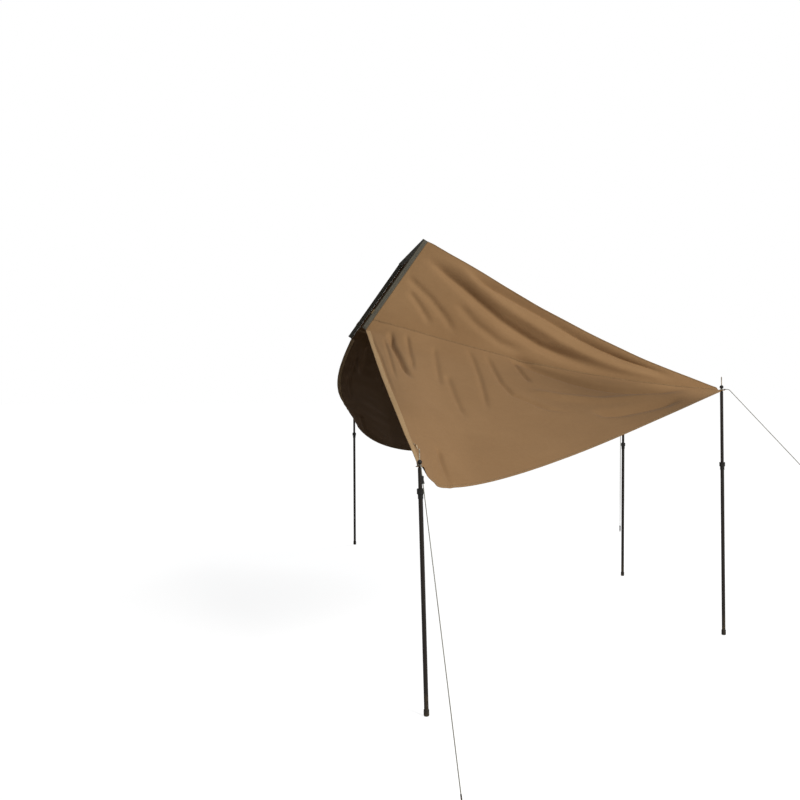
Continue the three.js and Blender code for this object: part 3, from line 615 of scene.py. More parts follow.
def lower_edge(side, u):
    rise, fall = HEM_RISE[side], HEM_FALL
    peak = rise / (rise + fall)
    u = np.clip(u, 0, 1)
    drop = u**rise * (1 - u) ** fall / (peak**rise * (1 - peak) ** fall)
    drop = drop * (1 - CORNER_TRIM[side] * np.exp(-((u / TRIM_REACH) ** 1.2)))
    start, deepest, end = NOTCH_PLACES
    notch = NOTCH * CORNER_TRIM[side] * smooth(u, start, deepest) * (1 - smooth(u, deepest, end))
    return lowered(lerp(REAR_TIP[side], FRONT_TIP[side], u), HEM_SAG[side] * (drop + notch))


def rear_edge(side, v):
    share = np.clip((v - KNEE) / (1 - KNEE), 0, 1)
    bow = (BOW[side] * np.sin(np.pi * share))[..., None]
    free = lerp(attach(side, 0), REAR_TIP[side], share) - bow * [1, 0, 0.3]
    zipped = lerp(attach(side, SEAM_START), attach(side, 0), np.clip(v / KNEE, 0, 1))
    return np.where((v < KNEE)[..., None], zipped, free)


def roof_shape(u, w):
    drop = np.sin(np.pi * w) * (ROOF_SAG * sag(u, DEEPEST_RIDGE) + FRONT_SAG * u * u)
    return lowered(lerp(ridge("right", u), ridge("left", u), w), drop)


def gable_shape(side, u, v):
    return lerp(ridge(side, u), seam(side, u), v)


def edge_pull(side, v):
    """How far the rear edge stands off a straight line, mirrored past its ends for averaging."""
    turn = np.where((v < 0) | (v > 1), -1.0, 1.0)[..., None]
    v = np.where(v > 1, 2 - v, np.abs(v))
    return (rear_edge(side, v) - lerp(attach(side, SEAM_START), REAR_TIP[side], v)) * turn


def wing_shape(side, u, v):
    u, v = np.broadcast_arrays(np.asarray(u, float), np.asarray(v, float))
    blur = EDGE_BLUR * smooth(u, 0, 0.12)
    pull = sum(edge_pull(side, v + blur * k / 4) for k in range(-4, 5)) / 9 * ((1 - u) ** 4)[..., None]
    low = lower_edge(side, u)
    dip = lerp(REAR_TIP[side], FRONT_TIP[side], u)[..., 2] - low[..., 2]
    hanging = dip * (1 - smooth(u, 0.03, 0.18)) * (v - v**6)
    return lowered(lerp(seam(side, u), low, v) + pull, -hanging)


def corner_distance(points):
    flat = [np.linalg.norm((points - eyelet)[..., :2], axis=-1) for eyelet in EYELET.values()]
    return np.min(flat, axis=0)


def settled(points):
    """Near an eyelet the cloth lies flat on the pole's shoulder."""
    points = points.copy()
    for name, eyelet in EYELET.items():
        away = (points - eyelet)[..., :2]
        flat = eyelet[2] - away @ AXIS[name][:2] / AXIS[name][2]
        free = smooth(np.linalg.norm(away, axis=-1), SEATED, FREE)
        points[..., 2] = flat + (points[..., 2] - flat) * free
    return points


SHAPES = {"roof": roof_shape}
OUTWARD = {"roof": UP}
for side in SIGN:
    SHAPES[f"{side}_gable"] = lambda u, v, s=side: gable_shape(s, u, v)
    SHAPES[f"{side}_wing"] = lambda u, v, s=side: wing_shape(s, u, v)
    OUTWARD[f"{side}_gable"] = OUTWARD[f"{side}_wing"] = np.array([0, SIGN[side], 0.3])
print("front tips", FRONT_TIP["right"].round(3), FRONT_TIP["left"].round(3))

# %% [markdown]
# ## Folds
# What makes cloth look like cloth is where its folds run. In the photograph they fan out from the
# zip and the lower tie-on point towards the front eyelet, with a deep one just under the seam.
# A cloth simulation would fold where it likes, so each fold that can be seen is written down as
# a line over its panel, with its depth and width, and the cloth dips or rises beside that line.
# A line is given by its places (u along, v across) on the panel. The left side gets the same
# folds, shifted and of other depths, because the same pull makes them there.

# %% The folds of the side panels
GABLE_FOLDS = [
    ([(.013, .15), (.077, .193), (.158, .27), (.238, .373), (.315, .477), (.385, .557), (.455, .647),
      (.52, .69), (.583, .743), (.662, .843)], -0.012, 0.032),
    ([(.058, .073), (.13, .107), (.212, .19), (.288, .253), (.357, .3), (.427, .353), (.497, .427),
      (.565, .487), (.63, .553), (.693, .597), (.782, .607), (.875, .8)], 0.009, 0.04),
    ([(.14, .117), (.265, .083), (.4, .087), (.47, .113), (.54, .163), (.61, .22), (.675, .25),
      (.74, .277), (.805, .35), (.885, .507)], -0.012, 0.026),
    ([(0, .417), (.043, .477), (.105, .563), (.173, .713), (.24, .923)], -0.005, 0.026),
    ([(.035, .567), (.095, .697), (.16, .89)], -0.004, 0.02),
    ([(.17, .47), (.258, .653), (.35, .8), (.445, .863)], -0.005, 0.03),
]
WING_FOLDS = [
    ([(.007, .033), (.01, .163), (.015, .273), (.015, .45), (.013, .627)], -0.003, 0.009),
    ([(.028, .01), (.043, .14), (.04, .293), (.035, .467)], -0.004, 0.010),
    ([(.055, .027), (.062, .123), (.068, .227), (.072, .327), (.08, .427)], -0.013, 0.019),
    ([(.098, .03), (.105, .13), (.103, .24), (.095, .347)], -0.006, 0.015),
    ([(.177, .067), (.17, .237), (.158, .413)], -0.004, 0.02),
    ([(.19, .283), (.188, .433), (.19, .547), (.195, .63)], -0.004, 0.02),
    ([(.273, .007), (.285, .12), (.283, .263), (.273, .433), (.263, .583)], -0.005, 0.018),
    ([(.325, .01), (.335, .147), (.338, .297), (.355, .407), (.398, .477), (.438, .55),
      (.508, .623)], -0.006, 0.018),
    ([(.405, .017), (.415, .13), (.43, .277)], -0.007, 0.015),
    ([(.38, .01), (.44, .035), (.5, .085), (.56, .145), (.615, .2), (.66, .232), (.71, .245), (.76, .235),
      (.828, .19), (.917, .123)], -0.017, 0.042),
    ([(.552, .64), (.64, .69), (.725, .683), (.795, .653), (.87, .547)], -0.012, 0.04),
    ([(.4, .357), (.492, .42), (.605, .48), (.73, .463), (.833, .35)], 0.007, 0.04),
    ([(.078, .84), (.077, .9), (.079, .96), (.083, 1.04)], -0.006, 0.017),
]
ROOF_FOLDS = [
    ([(.97, .04), (.8, .14), (.6, .24), (.42, .3)], -0.010, 0.03),
    ([(.98, .07), (.85, .26), (.7, .42), (.58, .52)], -0.006, 0.026),
    ([(.97, .95), (.82, .85), (.62, .76), (.4, .72)], -0.009, 0.032),
    ([(.98, .9), (.88, .7), (.76, .56)], -0.006, 0.025),
    ([(.02, .06), (.2, .12), (.42, .14), (.66, .1)], 0.007, 0.035),
    ([(.02, .93), (.22, .87), (.45, .86), (.68, .92)], 0.007, 0.035),
    ([(.01, .3), (.12, .31), (.28, .33)], -0.005, 0.018),
    ([(.01, .5), (.16, .49), (.34, .5)], -0.006, 0.024),
    ([(.01, .68), (.1, .67), (.24, .64)], -0.004, 0.018),
    ([(.99, .35), (.9, .37), (.8, .4)], -0.004, 0.02),
    ([(.99, .62), (.9, .6), (.78, .58)], -0.005, 0.02),
]
ROOF_DEPTH, LONG_DEPTH, SIDE_DEPTH, LONG_FOLDS = 1.5, 3.0, 3.1, 3  # the gable's first three are long
FOLDS = []
for side in SIGN:
    for panel, folds in ((f"{side}_gable", GABLE_FOLDS), (f"{side}_wing", WING_FOLDS)):
        for k, (line, depth, width) in enumerate(folds):
            u, v = np.array(line, float).T
            depth = depth * (LONG_DEPTH if folds is GABLE_FOLDS and k < LONG_FOLDS else SIDE_DEPTH)
            if side == "left":
                sway = math.sin(2.4 * k + 1)
                u, v = np.clip(u + 0.025 * sway, 0, 1), np.clip(v * (1 + 0.12 * math.cos(1.7 * k)), 0, 1)
                depth, width = depth * (1.1 + 0.45 * sway), width * (1.15 - 0.2 * sway)
            FOLDS.append((settled(SHAPES[panel](u, v)), depth, width))
for line, depth, width in ROOF_FOLDS:
    FOLDS.append((settled(roof_shape(*np.array(line, float).T)), depth * ROOF_DEPTH, width))
print(len(FOLDS), "folds")

# %% [markdown]
# ## Laying folds into the cloth
# Every point of a panel is moved along the direction the cloth faces there. Beside a seam both
# panels use the same direction, halfway between theirs, and the same height, because the folds
# are measured in space and not on one panel. That keeps the seam closed while folds run across
# it. The folds die out at the zip, at the welt and at the eyelets, where the cloth is held.

# %% Moving the cloth
RIPPLE = 0.0022  # a small wave's height as a share of its length
HELD = 0.06  # how far from the zip and the welt folds have their full height
CALM, LIVELY = 0.03, 0.14  # how near to an eyelet they end, and how far off they are full


def facing(panel, u, v):
    """The direction that a panel's smooth shape faces."""
    h, shape = 2e-3, SHAPES[panel]
    u, v = np.clip(u, 0, 0.985), np.asarray(v, float)
    along = shape(np.minimum(u + h, 1), v) - shape(np.maximum(u - h, 0), v)
    across = shape(u, np.minimum(v + h, 1)) - shape(u, np.maximum(v - h, 0))
    n = unit(np.cross(along, across))
    return n * np.where(n @ OUTWARD[panel] < 0, -1.0, 1.0)[..., None]


def push(panel, u, v):
    """The direction in which folds move the cloth, shared by both panels along a seam."""
    own = facing(panel, u, v)
    zero, one = np.zeros_like(u), np.ones_like(u)
    if panel == "roof":
        right, left = facing("right_gable", u, zero), facing("left_gable", u, zero)
        own = own + right * (1 - smooth(v, 0, 0.12))[..., None] + left * smooth(v, 0.88, 1)[..., None]
    elif panel.endswith("gable"):
        side = panel.split("_")[0]
        roof = facing("roof", u, zero if side == "right" else one)
        own = own + roof * (1 - smooth(v, 0, 0.35))[..., None]
        own = own + facing(f"{side}_wing", u, zero) * smooth(v, 0.65, 1)[..., None]
    else:
        own = own + facing(panel.replace("wing", "gable"), u, one) * (1 - smooth(v, 0, 0.15))[..., None]
    return unit(own)


def fold_height(points):
    """How far the folds lift or drop the cloth at each point."""
    flat = points.reshape(-1, 3)
    total = np.zeros(len(flat))
    for line, depth, width in FOLDS:
        reach = 3 * width
        inside = ((flat > line.min(0) - reach) & (flat < line.max(0) + reach)).all(1)
        some, steps = flat[inside], steps_of(line)
        done, best, place = 0.0, np.full(len(some), 9.0), np.zeros(len(some))
        for a, b, step in zip(line[:-1], line[1:], steps):
            t = np.clip((some - a) @ (b - a) / step**2, 0, 1)
            gap = np.linalg.norm(some - a - t[:, None] * (b - a), axis=1)
            nearer = gap < best
            best = np.where(nearer, gap, best)
            place = np.where(nearer, (done + t * step) / steps.sum(), place)
            done += step
        fade = smooth(place, 0, 0.16) * (1 - smooth(place, 0.72, 1))
        total[inside] += depth * fade * np.exp(-((best / width) ** 2))
    return total.reshape(points.shape[:-1])


def ripple(points):
    """Small uneven waves, mostly across the pull from the tent to the front row."""
    chance = np.random.default_rng(5)
    total = np.zeros(points.shape[:-1])
    for k in range(14):
        length = 0.05 * 1.28**k * chance.uniform(0.8, 1.2)
        lean = chance.normal(0, 0.35)
        wave = np.array([lean, math.cos(lean), chance.normal(0, 0.9)]) * 2 * np.pi / length
        total += np.sin(points @ wave + chance.uniform(0, 6.28)) * length * chance.uniform(0.3, 1)
    return total * RIPPLE


def line_distance(points, a, b):
    t = np.clip((points - a) @ (b - a) / ((b - a) @ (b - a)), 0, 1)
    return np.linalg.norm(points - a - t[..., None] * (b - a), axis=-1)


def cloth(panel, u, v):
    """The finished cloth's middle surface at places (u, v) of a panel."""
    u, v = np.broadcast_arrays(np.asarray(u, float), np.asarray(v, float))
    points = settled(SHAPES[panel](u, v))
    height = fold_height(points) + ripple(points)
    held = np.min([line_distance(points, attach(s, 0), attach(s, 1)) for s in SIGN], axis=0)
    held = np.minimum(held, line_distance(points, attach("right", 1), attach("left", 1)))
    height = height * smooth(held, 0, HELD) * smooth(corner_distance(points), CALM, LIVELY)
    if panel.endswith("wing"):
        height = height * (0.35 + 0.65 * (1 - smooth(v, 0.9, 1)))
    return points + push(panel, u, v) * height[..., None]


def grid_facing(points, outward):
    n = unit(np.cross(np.gradient(points, axis=0), np.gradient(points, axis=1)))
    middle = n[len(n) // 2, n.shape[1] // 2]
    return n if middle @ outward > 0 else -n


print("middle of the right wing", cloth("right_wing", [0.4], [0.4]).round(3))

# %% [markdown]
# ## Skins
# A panel is cloth 1.6 mm thick in the model, so that light and the camera never see through its
# edge. The grid becomes an outer and an inner face joined by a rim. The inner face has its own
# finish, painted darker than the outer face as painted shade.
# The UV map is the panel's place on its own flat plane, in metres, so the threads stay parallel.

# %% Making the panels
HALF = 0.0008  # half the cloth's thickness
LAP = 0.0004  # a panel ends this far before the seam's middle
TIP_HOLE, EYELET_HOLE = 0.016, 0.0087  # radii cut out of the cloth round an eyelet


def flat_map(points):
    """Metres along and across a panel's own plane."""
    flat = points.reshape(-1, 3)
    centre = flat.mean(0)
    _, _, axes = np.linalg.svd(flat[:: max(1, len(flat) // 4000)] - centre, full_matrices=False)
    return (points - centre) @ axes[:2].T


def skin(name, points, normals, cut):
    """A closed sheet round a grid of points, without the cells that touch a cut point."""
    rows, columns = points.shape[:2]
    top, under = points + normals * HALF, points - normals * HALF
    i, j = cell_corners(rows - 1, columns - 1)
    cells = i * columns + j
    cells = cells[~cut.ravel()[cells].any(1)]
    a, b, c = (points.reshape(-1, 3)[cells[:, k]] for k in (0, 1, 2))
    middle = len(cells) // 2
    if np.cross(b - a, c - b)[middle] @ normals.reshape(-1, 3)[cells[middle, 0]] < 0:
        cells = cells[:, ::-1]
    count = rows * columns
    starts, stops = cells.ravel(), np.roll(cells, -1, 1).ravel()
    alone = ~np.isin(starts * count + stops, stops * count + starts)
    rim = np.stack([stops[alone], starts[alone], starts[alone] + count, stops[alone] + count], 1)
    faces = np.concatenate([cells, cells[:, ::-1] + count, rim])
    places = np.concatenate([flat_map(points).reshape(-1, 2)] * 2)[faces.ravel()]
    index = np.repeat(np.array([0, 1, 0], np.int32), [len(cells), len(cells), len(rim)])
    vertices = np.concatenate([top.reshape(-1, 3), under.reshape(-1, 3)])
    used, faces = np.unique(faces, return_inverse=True)
    faces = faces.reshape(-1, 4).tolist()
    return link_mesh(name, vertices[used], faces, places, [outer_canvas, inner_canvas_painted_shade], index)


def surface_area(points):
    a = np.cross(points[1:, 1:] - points[:-1, :-1], points[1:, :-1] - points[:-1, 1:])
    return float(np.linalg.norm(a, axis=-1).sum() / 2)


def even_spread(count, ends=0.35):
    """Steps from 0 to 1 that are a little closer together at both ends."""
    t = np.linspace(0, 1, count)
    return t * (1 - ends) + (1 - np.cos(np.pi * t)) / 2 * ends


END = 0.988  # where the side panels end, close before their common tip
GRIDS = {"roof": (even_spread(190), even_spread(170))}
for side in SIGN:
    GRIDS[f"{side}_gable"] = (even_spread(220) * END, even_spread(56, 0.2))
    GRIDS[f"{side}_wing"] = (even_spread(220) * END, even_spread(150))
panels, panel_area = {}, {}
for panel, (us, vs) in GRIDS.items():
    u, v = np.meshgrid(us, vs, indexing="ij")
    points = cloth(panel, u, v)
    normals = grid_facing(points, OUTWARD[panel])
    for edge, inner in [(0, 1)] if panel.endswith("wing") else [(0, 1), (-1, -2)]:
        points[:, edge] += unit(points[:, inner] - points[:, edge]) * LAP
    cut = np.zeros(points.shape[:2], bool)
    for pole, eyelet in EYELET.items():
        joins = pole.startswith("front") and panel != "roof"
        cut |= np.linalg.norm(points - eyelet, axis=-1) < (TIP_HOLE if joins else EYELET_HOLE)
    panels[panel] = skin(f"{panel}_cloth", points, normals, cut)
    panel_area[panel] = surface_area(points)
    print(panel, len(panels[panel].data.polygons), "faces", round(panel_area[panel], 3), "m2")

# %% [markdown]
# ## Bands on the cloth
# Seams, hems and tapes are narrow bands that follow the cloth's edges. Each could be bent by hand
# along its edge, but it would never lie as close as one that is made from the cloth's own points.
# So one helper finds the cloth at a distance from an edge, and another lays a section round it,
# given as a column of that grid and a height over the cloth. V on the UV map is the distance
# across the band, which is what the rows of stitches are drawn on.

# %% Bands that follow an edge


def mode(name):
    bpy.ops.object.mode_set(mode=name)


def select(which):
    bpy.ops.mesh.select_all(action=which)


def outwards(piece):
    """Turns every face of a closed mesh outwards."""
    bpy.ops.object.select_all(action="DESELECT")
    bpy.context.view_layer.objects.active = piece
    piece.select_set(True)
    mode("EDIT")
    select("SELECT")
    bpy.ops.mesh.normals_make_consistent(inside=False)
    mode("OBJECT")
    return piece


def edge_places(panel, edge, shares):
    """Where an edge runs on its panel, and how many metres the panel reaches across from it."""
    zero, step = np.zeros_like(shares), 0.004
    u, v, du, dv = {
        "start": (shares, zero, 0, 1), "low": (shares, zero + 1, 0, -1),
        "rear": (zero, shares, 1, 0), "front": (zero + 1, shares, -1, 0),
    }[edge]
    shape = SHAPES[panel]
    reach = np.linalg.norm(shape(u + du * step, v + dv * step) - shape(u, v), axis=-1) / step
    return u, v, du, dv, np.maximum(reach, 1e-3)


def near_edge(panel, edge, shares, distances):
    """The cloth's middle at distances from an edge. Less than nothing is out past the edge."""
    u, v, du, dv, reach = edge_places(panel, edge, shares)
    inside = np.maximum(distances, 0) / reach[:, None]
    points = cloth(panel, u[:, None] + du * inside, v[:, None] + dv * inside)
    within = 0.002 / reach
    past = unit(cloth(panel, u, v) - cloth(panel, u + du * within, v + dv * within))
    return points + past[:, None] * np.maximum(-distances, 0)[..., None]


def both_faces(heights, rim=()):
    """A section over the cloth and back under it, from heights in millimetres."""
    over = [(column, height * 1e-3) for column, height in enumerate(heights)]
    return [*over, *rim, *[(column, -height) for column, height in reversed(over)]]


def ribbon(name, middle, across, section, outward, material):
    """A section of (column, height) laid along a grid of the cloth's middle."""
    normals = grid_facing(middle, outward)
    columns, heights = [c for c, _ in section], np.array([h for _, h in section])
    points = middle[:, columns] + normals[:, columns] * heights[:, None]
    far = passed(steps_of(middle[:, middle.shape[1] // 2]))[:, None]
    uv = uv_map(far, np.asarray(across)[..., [*columns, columns[0]]])
    return outwards(tube(name, points, uv, material))


trim = {panel: [] for panel in panels}
print("reach of the right wing below its seam",
      edge_places("right_wing", "start", np.array([0.1, 0.5, 0.9]))[4].round(2), "m")

# %% [markdown]
# ## Seams
# The panels are joined by felled seams: both edges are folded into each other and sewn down with
# two rows of stitches, so a seam is four layers thick and shows on both faces. Here it is a flat
# band 14 mm wide that fades into the cloth at its sides. Its colour is painted darker than the
# cloth, as painted shade along the seam.

# %% The ridges and the side seams
SEAM_ACROSS = np.array([-7.0, -6, -4.5, -2, 0, 2, 4.5, 6, 7]) * 1e-3
SEAM_SECTION = both_faces([0.4, 1.5, 1.75, 1.9, 2.1, 1.9, 1.75, 1.5, 0.4])
RIDGE_END, WING_SEAM_END = 0.982, 0.978


def felled_seam(name, above, above_edge, below, outward, last):
    shares = GRIDS[below][0]
    shares = np.concatenate([[0.0004], shares[(shares > 0.001) & (shares < last)]])
    first = near_edge(above, above_edge, shares, np.broadcast_to(-SEAM_ACROSS[:4], (len(shares), 4)))
    second = near_edge(below, "start", shares, np.broadcast_to(SEAM_ACROSS[4:], (len(shares), 5)))
    middle = np.concatenate([first, second], 1)
    trim[below].append(ribbon(name, middle, SEAM_ACROSS, SEAM_SECTION, outward, seam_painted_shade_finish))


for side, sign in SIGN.items():
    gable, wing, roof_edge = f"{side}_gable", f"{side}_wing", "start" if side == "right" else "low"
    felled_seam(f"{side}_ridge_seam", "roof", roof_edge, gable, np.array([0, sign, 1.0]), RIDGE_END)
    felled_seam(f"{side}_wing_seam", gable, "low", wing, OUTWARD[wing], WING_SEAM_END)
print([piece.name for pieces in trim.values() for piece in pieces])

# %% [markdown]
# ## Hems
# A free edge is bound with a folded strip of the same cloth, sewn through with two rows. Along
# the wing's rear edge the binding is painted lighter than the cloth, as a painted highlight. It
# could be a second sheet on one face only, but an edge that is looked at from both sides needs the
# fold itself, so the section goes up one face, round the edge and back under the other. The rear
# binding is about twice as wide as the low and front hems. At an eyelet a hem ends under the
# corner's patch, clear of the pole's plug.

# %% The bound edges
HEM_WIDTH = {"rear": 0.032, "low": 0.017, "front": 0.017}
HEM_SHARE = 0.42  # of a panel's width at most, where the panel is narrow
HEM_GAP = 0.0115  # from an eyelet's middle to the nearest hem


def hem_places(panel, edge, shares):
    """Points across the hem, from its inner side to just past the edge."""
    width = np.minimum(HEM_WIDTH[edge], HEM_SHARE * edge_places(panel, edge, shares)[4])
    inner = np.array([1.0, 0.985, 0.6, 0.3, 0.06])[None] * width[:, None]
    past = np.broadcast_to([-0.0004, -0.0012, -0.0015], (len(shares), 3))
    distances = np.concatenate([inner, past], 1)
    return distances, near_edge(panel, edge, shares, distances)


def up_to_the_eyelets(panel, edge, shares):
    """Lets a hem end under the patches, clear of the pole's plug in the eyelet."""
    fine = np.linspace(shares[0], shares[-1], 3001)
    near = corner_distance(hem_places(panel, edge, fine)[1]).min(1) < HEM_GAP
    half = len(fine) // 2
    first = fine[np.flatnonzero(near[:half])[-1] + 1] if near[:half].any() else fine[0]
    last = fine[half + np.flatnonzero(near[half:])[0] - 1] if near[half:].any() else fine[-1]
    return np.concatenate([[first], shares[(shares > first) & (shares < last)], [last]])


def bound_edge(name, panel, edge, shares, lift, nodes=()):
    distances, middle = hem_places(panel, edge, up_to_the_eyelets(panel, edge, shares))
    section = both_faces([0.5, lift, lift, lift, lift, 0.9 * lift, 0.5 * lift], [(7, 0.0)])
    # The rear edge takes the finish with the painted highlight.
    finish = rear_binding_painted_highlight if edge == "rear" else hem_finish
    piece = ribbon(name, middle, distances, section, OUTWARD[panel], finish)
    if nodes:
        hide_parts(*nodes)
    trim[panel].append(piece)


for side in SIGN:
    us, vs = GRIDS[f"{side}_wing"]
    bound_edge(f"{side}_wing_low_hem", f"{side}_wing", "low", us, 1.5, [f"{side}_wing_hem"])
    bound_edge(f"{side}_wing_rear_hem", f"{side}_wing", "rear", vs[vs > KNEE], 1.9)
bound_edge("roof_hem", "roof", "front", GRIDS["roof"][1], 1.7, ["roof_front_hem"])
print({panel: [piece.name for piece in pieces] for panel, pieces in trim.items()})

# %% [markdown]
# ## Corner patches
# Each eyelet needs more than one layer of cloth to hold it, so a round patch is sewn on both
# faces with two rings of stitches. Near an eyelet the cloth lies flat and square to its pole, so
# the patch is a flat ring there. It is swept round the pole's direction instead of spun, so that
# it gets the same UV map as the bands, and the same stitches.

# %% The four patches
TOP_OF_PATCH = [(8.6, 2.0), (9.4, 2.2), (13, 2.22), (17, 2.2), (20.2, 2.05), (22, 1.6), (22.6, 0.8)]
PATCH_SECTION = np.array(TOP_OF_PATCH + [(r, -z) for r, z in TOP_OF_PATCH[::-1]]) * 1e-3
TURNS, STITCHED_RADIUS = 72, 0.0181
around = np.linspace(0, 2 * np.pi, TURNS, endpoint=False)
out = np.stack([np.cos(around), np.sin(around), np.zeros(TURNS)], 1)
ring = out[:, None] * PATCH_SECTION[None, :, :1] + UP * PATCH_SECTION[None, :, 1:]
ring_uv = uv_map(
    np.linspace(0, 2 * np.pi * STITCHED_RADIUS, TURNS + 1)[:, None],
    PATCH_SECTION[:, 0].max() - np.append(PATCH_SECTION[:, 0], PATCH_SECTION[0, 0]),
)
for pole in POLES:
    turn = np.array(pole_matrix(pole, LENGTH[pole]))
    patch = tube(f"{pole}_patch", ring @ turn[:3, :3].T + turn[:3, 3], ring_uv, patch_finish, closed=True)
    panel = "roof" if pole.startswith("front") else f"{pole.split('_')[1]}_wing"
    trim[panel].append(outwards(patch))
print("patches", 2 * PATCH_SECTION[:, 0].max(), "m across")

# %% [markdown]
# ## Webbing loops
# Beside the rear edge of each wing a short loop of pale webbing is sewn on, to hang the rolled
# wing up by. A dense bar of stitches holds each of its ends. The loop is a flat ribbon
# that stands off the cloth between its ends, with ribs woven across it.

# %% Webbing finish and the two loops
webbing = Finish("webbing", Roughness=0.8, Sheen_Weight=0.15)
along, across = webbing.uv()
rib = waves(along, 0.0016) * 0.5 + 0.5
cell = waves(across, 0.0024) * 0.25 + 0.75
end_bar = ((along < 0.0065) + (along > 0.0425)) * (along > 0.003) * (along < 0.046)
woven = webbing.mix(rib * cell, colour(150, 128, 98), colour(198, 176, 142))
sewn = webbing.mix(waves(across, 0.0009) * 0.5 + 0.5, colour(46, 38, 28), colour(84, 70, 52))
woven = webbing.mix(end_bar, woven, sewn)
webbing.set(Base_Color=woven, Normal=webbing.bump(rib * cell + end_bar * 0.8, 0.0004))

LOOP_ACROSS = np.array([-4.5, -4.2, -1.5, 1.5, 4.2, 4.5]) * 1e-3
LOOP_SECTION = [(0, -0.0003), (1, 0.0), (2, 0.00005), (3, 0.00005), (4, 0.0), (5, -0.0003),
                (5, -0.0009), (4, -0.0012), (1, -0.0012), (0, -0.0009)]
LOOP_PLACES = (0.0138, 0.0055), (0.866, 0.0225)  # start and run, as shares of the wing's u and v
LOOP_LIFT, LOOP_ARCH = 0.0028, 0.0075  # over the cloth at its ends, and more between them
WING_REACH = 2.3  # about the metres that u spans, to lay the loop's width in
for side in SIGN:
    panel, t = f"{side}_wing", np.linspace(0, 1, 29)
    u, v = (start + run * t for start, run in LOOP_PLACES)
    arch = LOOP_LIFT + LOOP_ARCH * np.sin(np.pi * smooth(t, 0.13, 0.87)) ** 1.2
    middle = cloth(panel, u[:, None] + LOOP_ACROSS[None] / WING_REACH, np.repeat(v[:, None], 6, 1))
    middle = middle + grid_facing(middle, OUTWARD[panel]) * arch[:, None, None]
    piece = ribbon(f"{side}_wing_loop", middle, LOOP_ACROSS, LOOP_SECTION, OUTWARD[panel], webbing.material)
    trim[panel].append(piece)
    print(piece.name, "at", middle[14, 2].round(3))

for pieces in trim.values():
    for piece in pieces:
        dress(piece, "canopy", "hem_canvas" if "hem" in piece.name else "canvas")

# %% [markdown]
# ## Zips and the welt
# One half of a coil zip runs up each side, and a welt, which is a cord in a sleeve of cloth, runs
# along the top edge and slides into a rail. Their tapes are flat bands with a bead along the far
# edge. The zip's bead is a real coil: one thick thread wound round a core, sewn to the tape. The
# welt's ends are mitred, so that it meets both zips and no light shows between them.

# %% Tape finish and the tapes
tape_cloth = Finish("zip tape", Roughness=0.82, Sheen_Weight=0.1)
tape_along, tape_across = tape_cloth.uv()
twill = waves(abs((tape_across % 0.004) - 0.002) + tape_along, 0.0013) * 0.5 + 0.5
tape_tone = tape_cloth.mix(twill, colour(58, 57, 49), colour(82, 80, 69))
tape_tone = tape_cloth.mix(tape_cloth.noise(24.0) - 0.35, tape_tone, colour(98, 92, 76))
for row in (0.005, 0.0255):
    stitches = (abs(tape_across - row) < 0.0007) * (beat(tape_along) < 0.0015)
    tape_tone = tape_cloth.mix(stitches, tape_tone, colour(118, 104, 82))
tape_cloth.set(Base_Color=tape_tone, Normal=tape_cloth.bump(twill, 0.0003))

coil_finish = Finish("zip coil", Roughness=0.65, Specular_IOR_Level=0.2)
coil_dust = coil_finish.noise(30.0)
coil_finish.set(Base_Color=coil_finish.mix(coil_dust - 0.3, colour(36, 34, 29), colour(88, 80, 64)))


def stood(frame_of_tape, points):
    """From across, up and along a tape to its place on the tent."""
    start, away, normal, along = frame_of_tape
    return start + points[..., :1] * away + points[..., 1:2] * normal + points[..., 2:] * along


def tape_strip(name, frame_of_tape, section, length, mitre=((0, 0), (0, 0))):
    """A tape whose ends reach further by a measure at the cloth and one at the bead."""
    section = np.array(section) * 1e-3
    rows = np.linspace(0, length, int(length / 0.02))
    share = np.clip(section[:, 0] / 0.03, 0, 1)
    before, after = (at_cloth + (at_bead - at_cloth) * share for at_cloth, at_bead in mitre)
    points = np.zeros((len(rows), len(section), 3))
    points[..., :2] = section
    points[..., 2] = rows[:, None] * (1 + (before + after) / length) - before
    uv = uv_map(rows[:, None], np.append(section[:, 0], section[0, 0]))
    return outwards(tube(name, stood(frame_of_tape, points), uv, tape_cloth.material))


def folded_back(lower, tip):
    """A section from its lower half and its tip."""
    return [*lower, *tip, *[(x, -y) for x, y in lower[::-1]]]


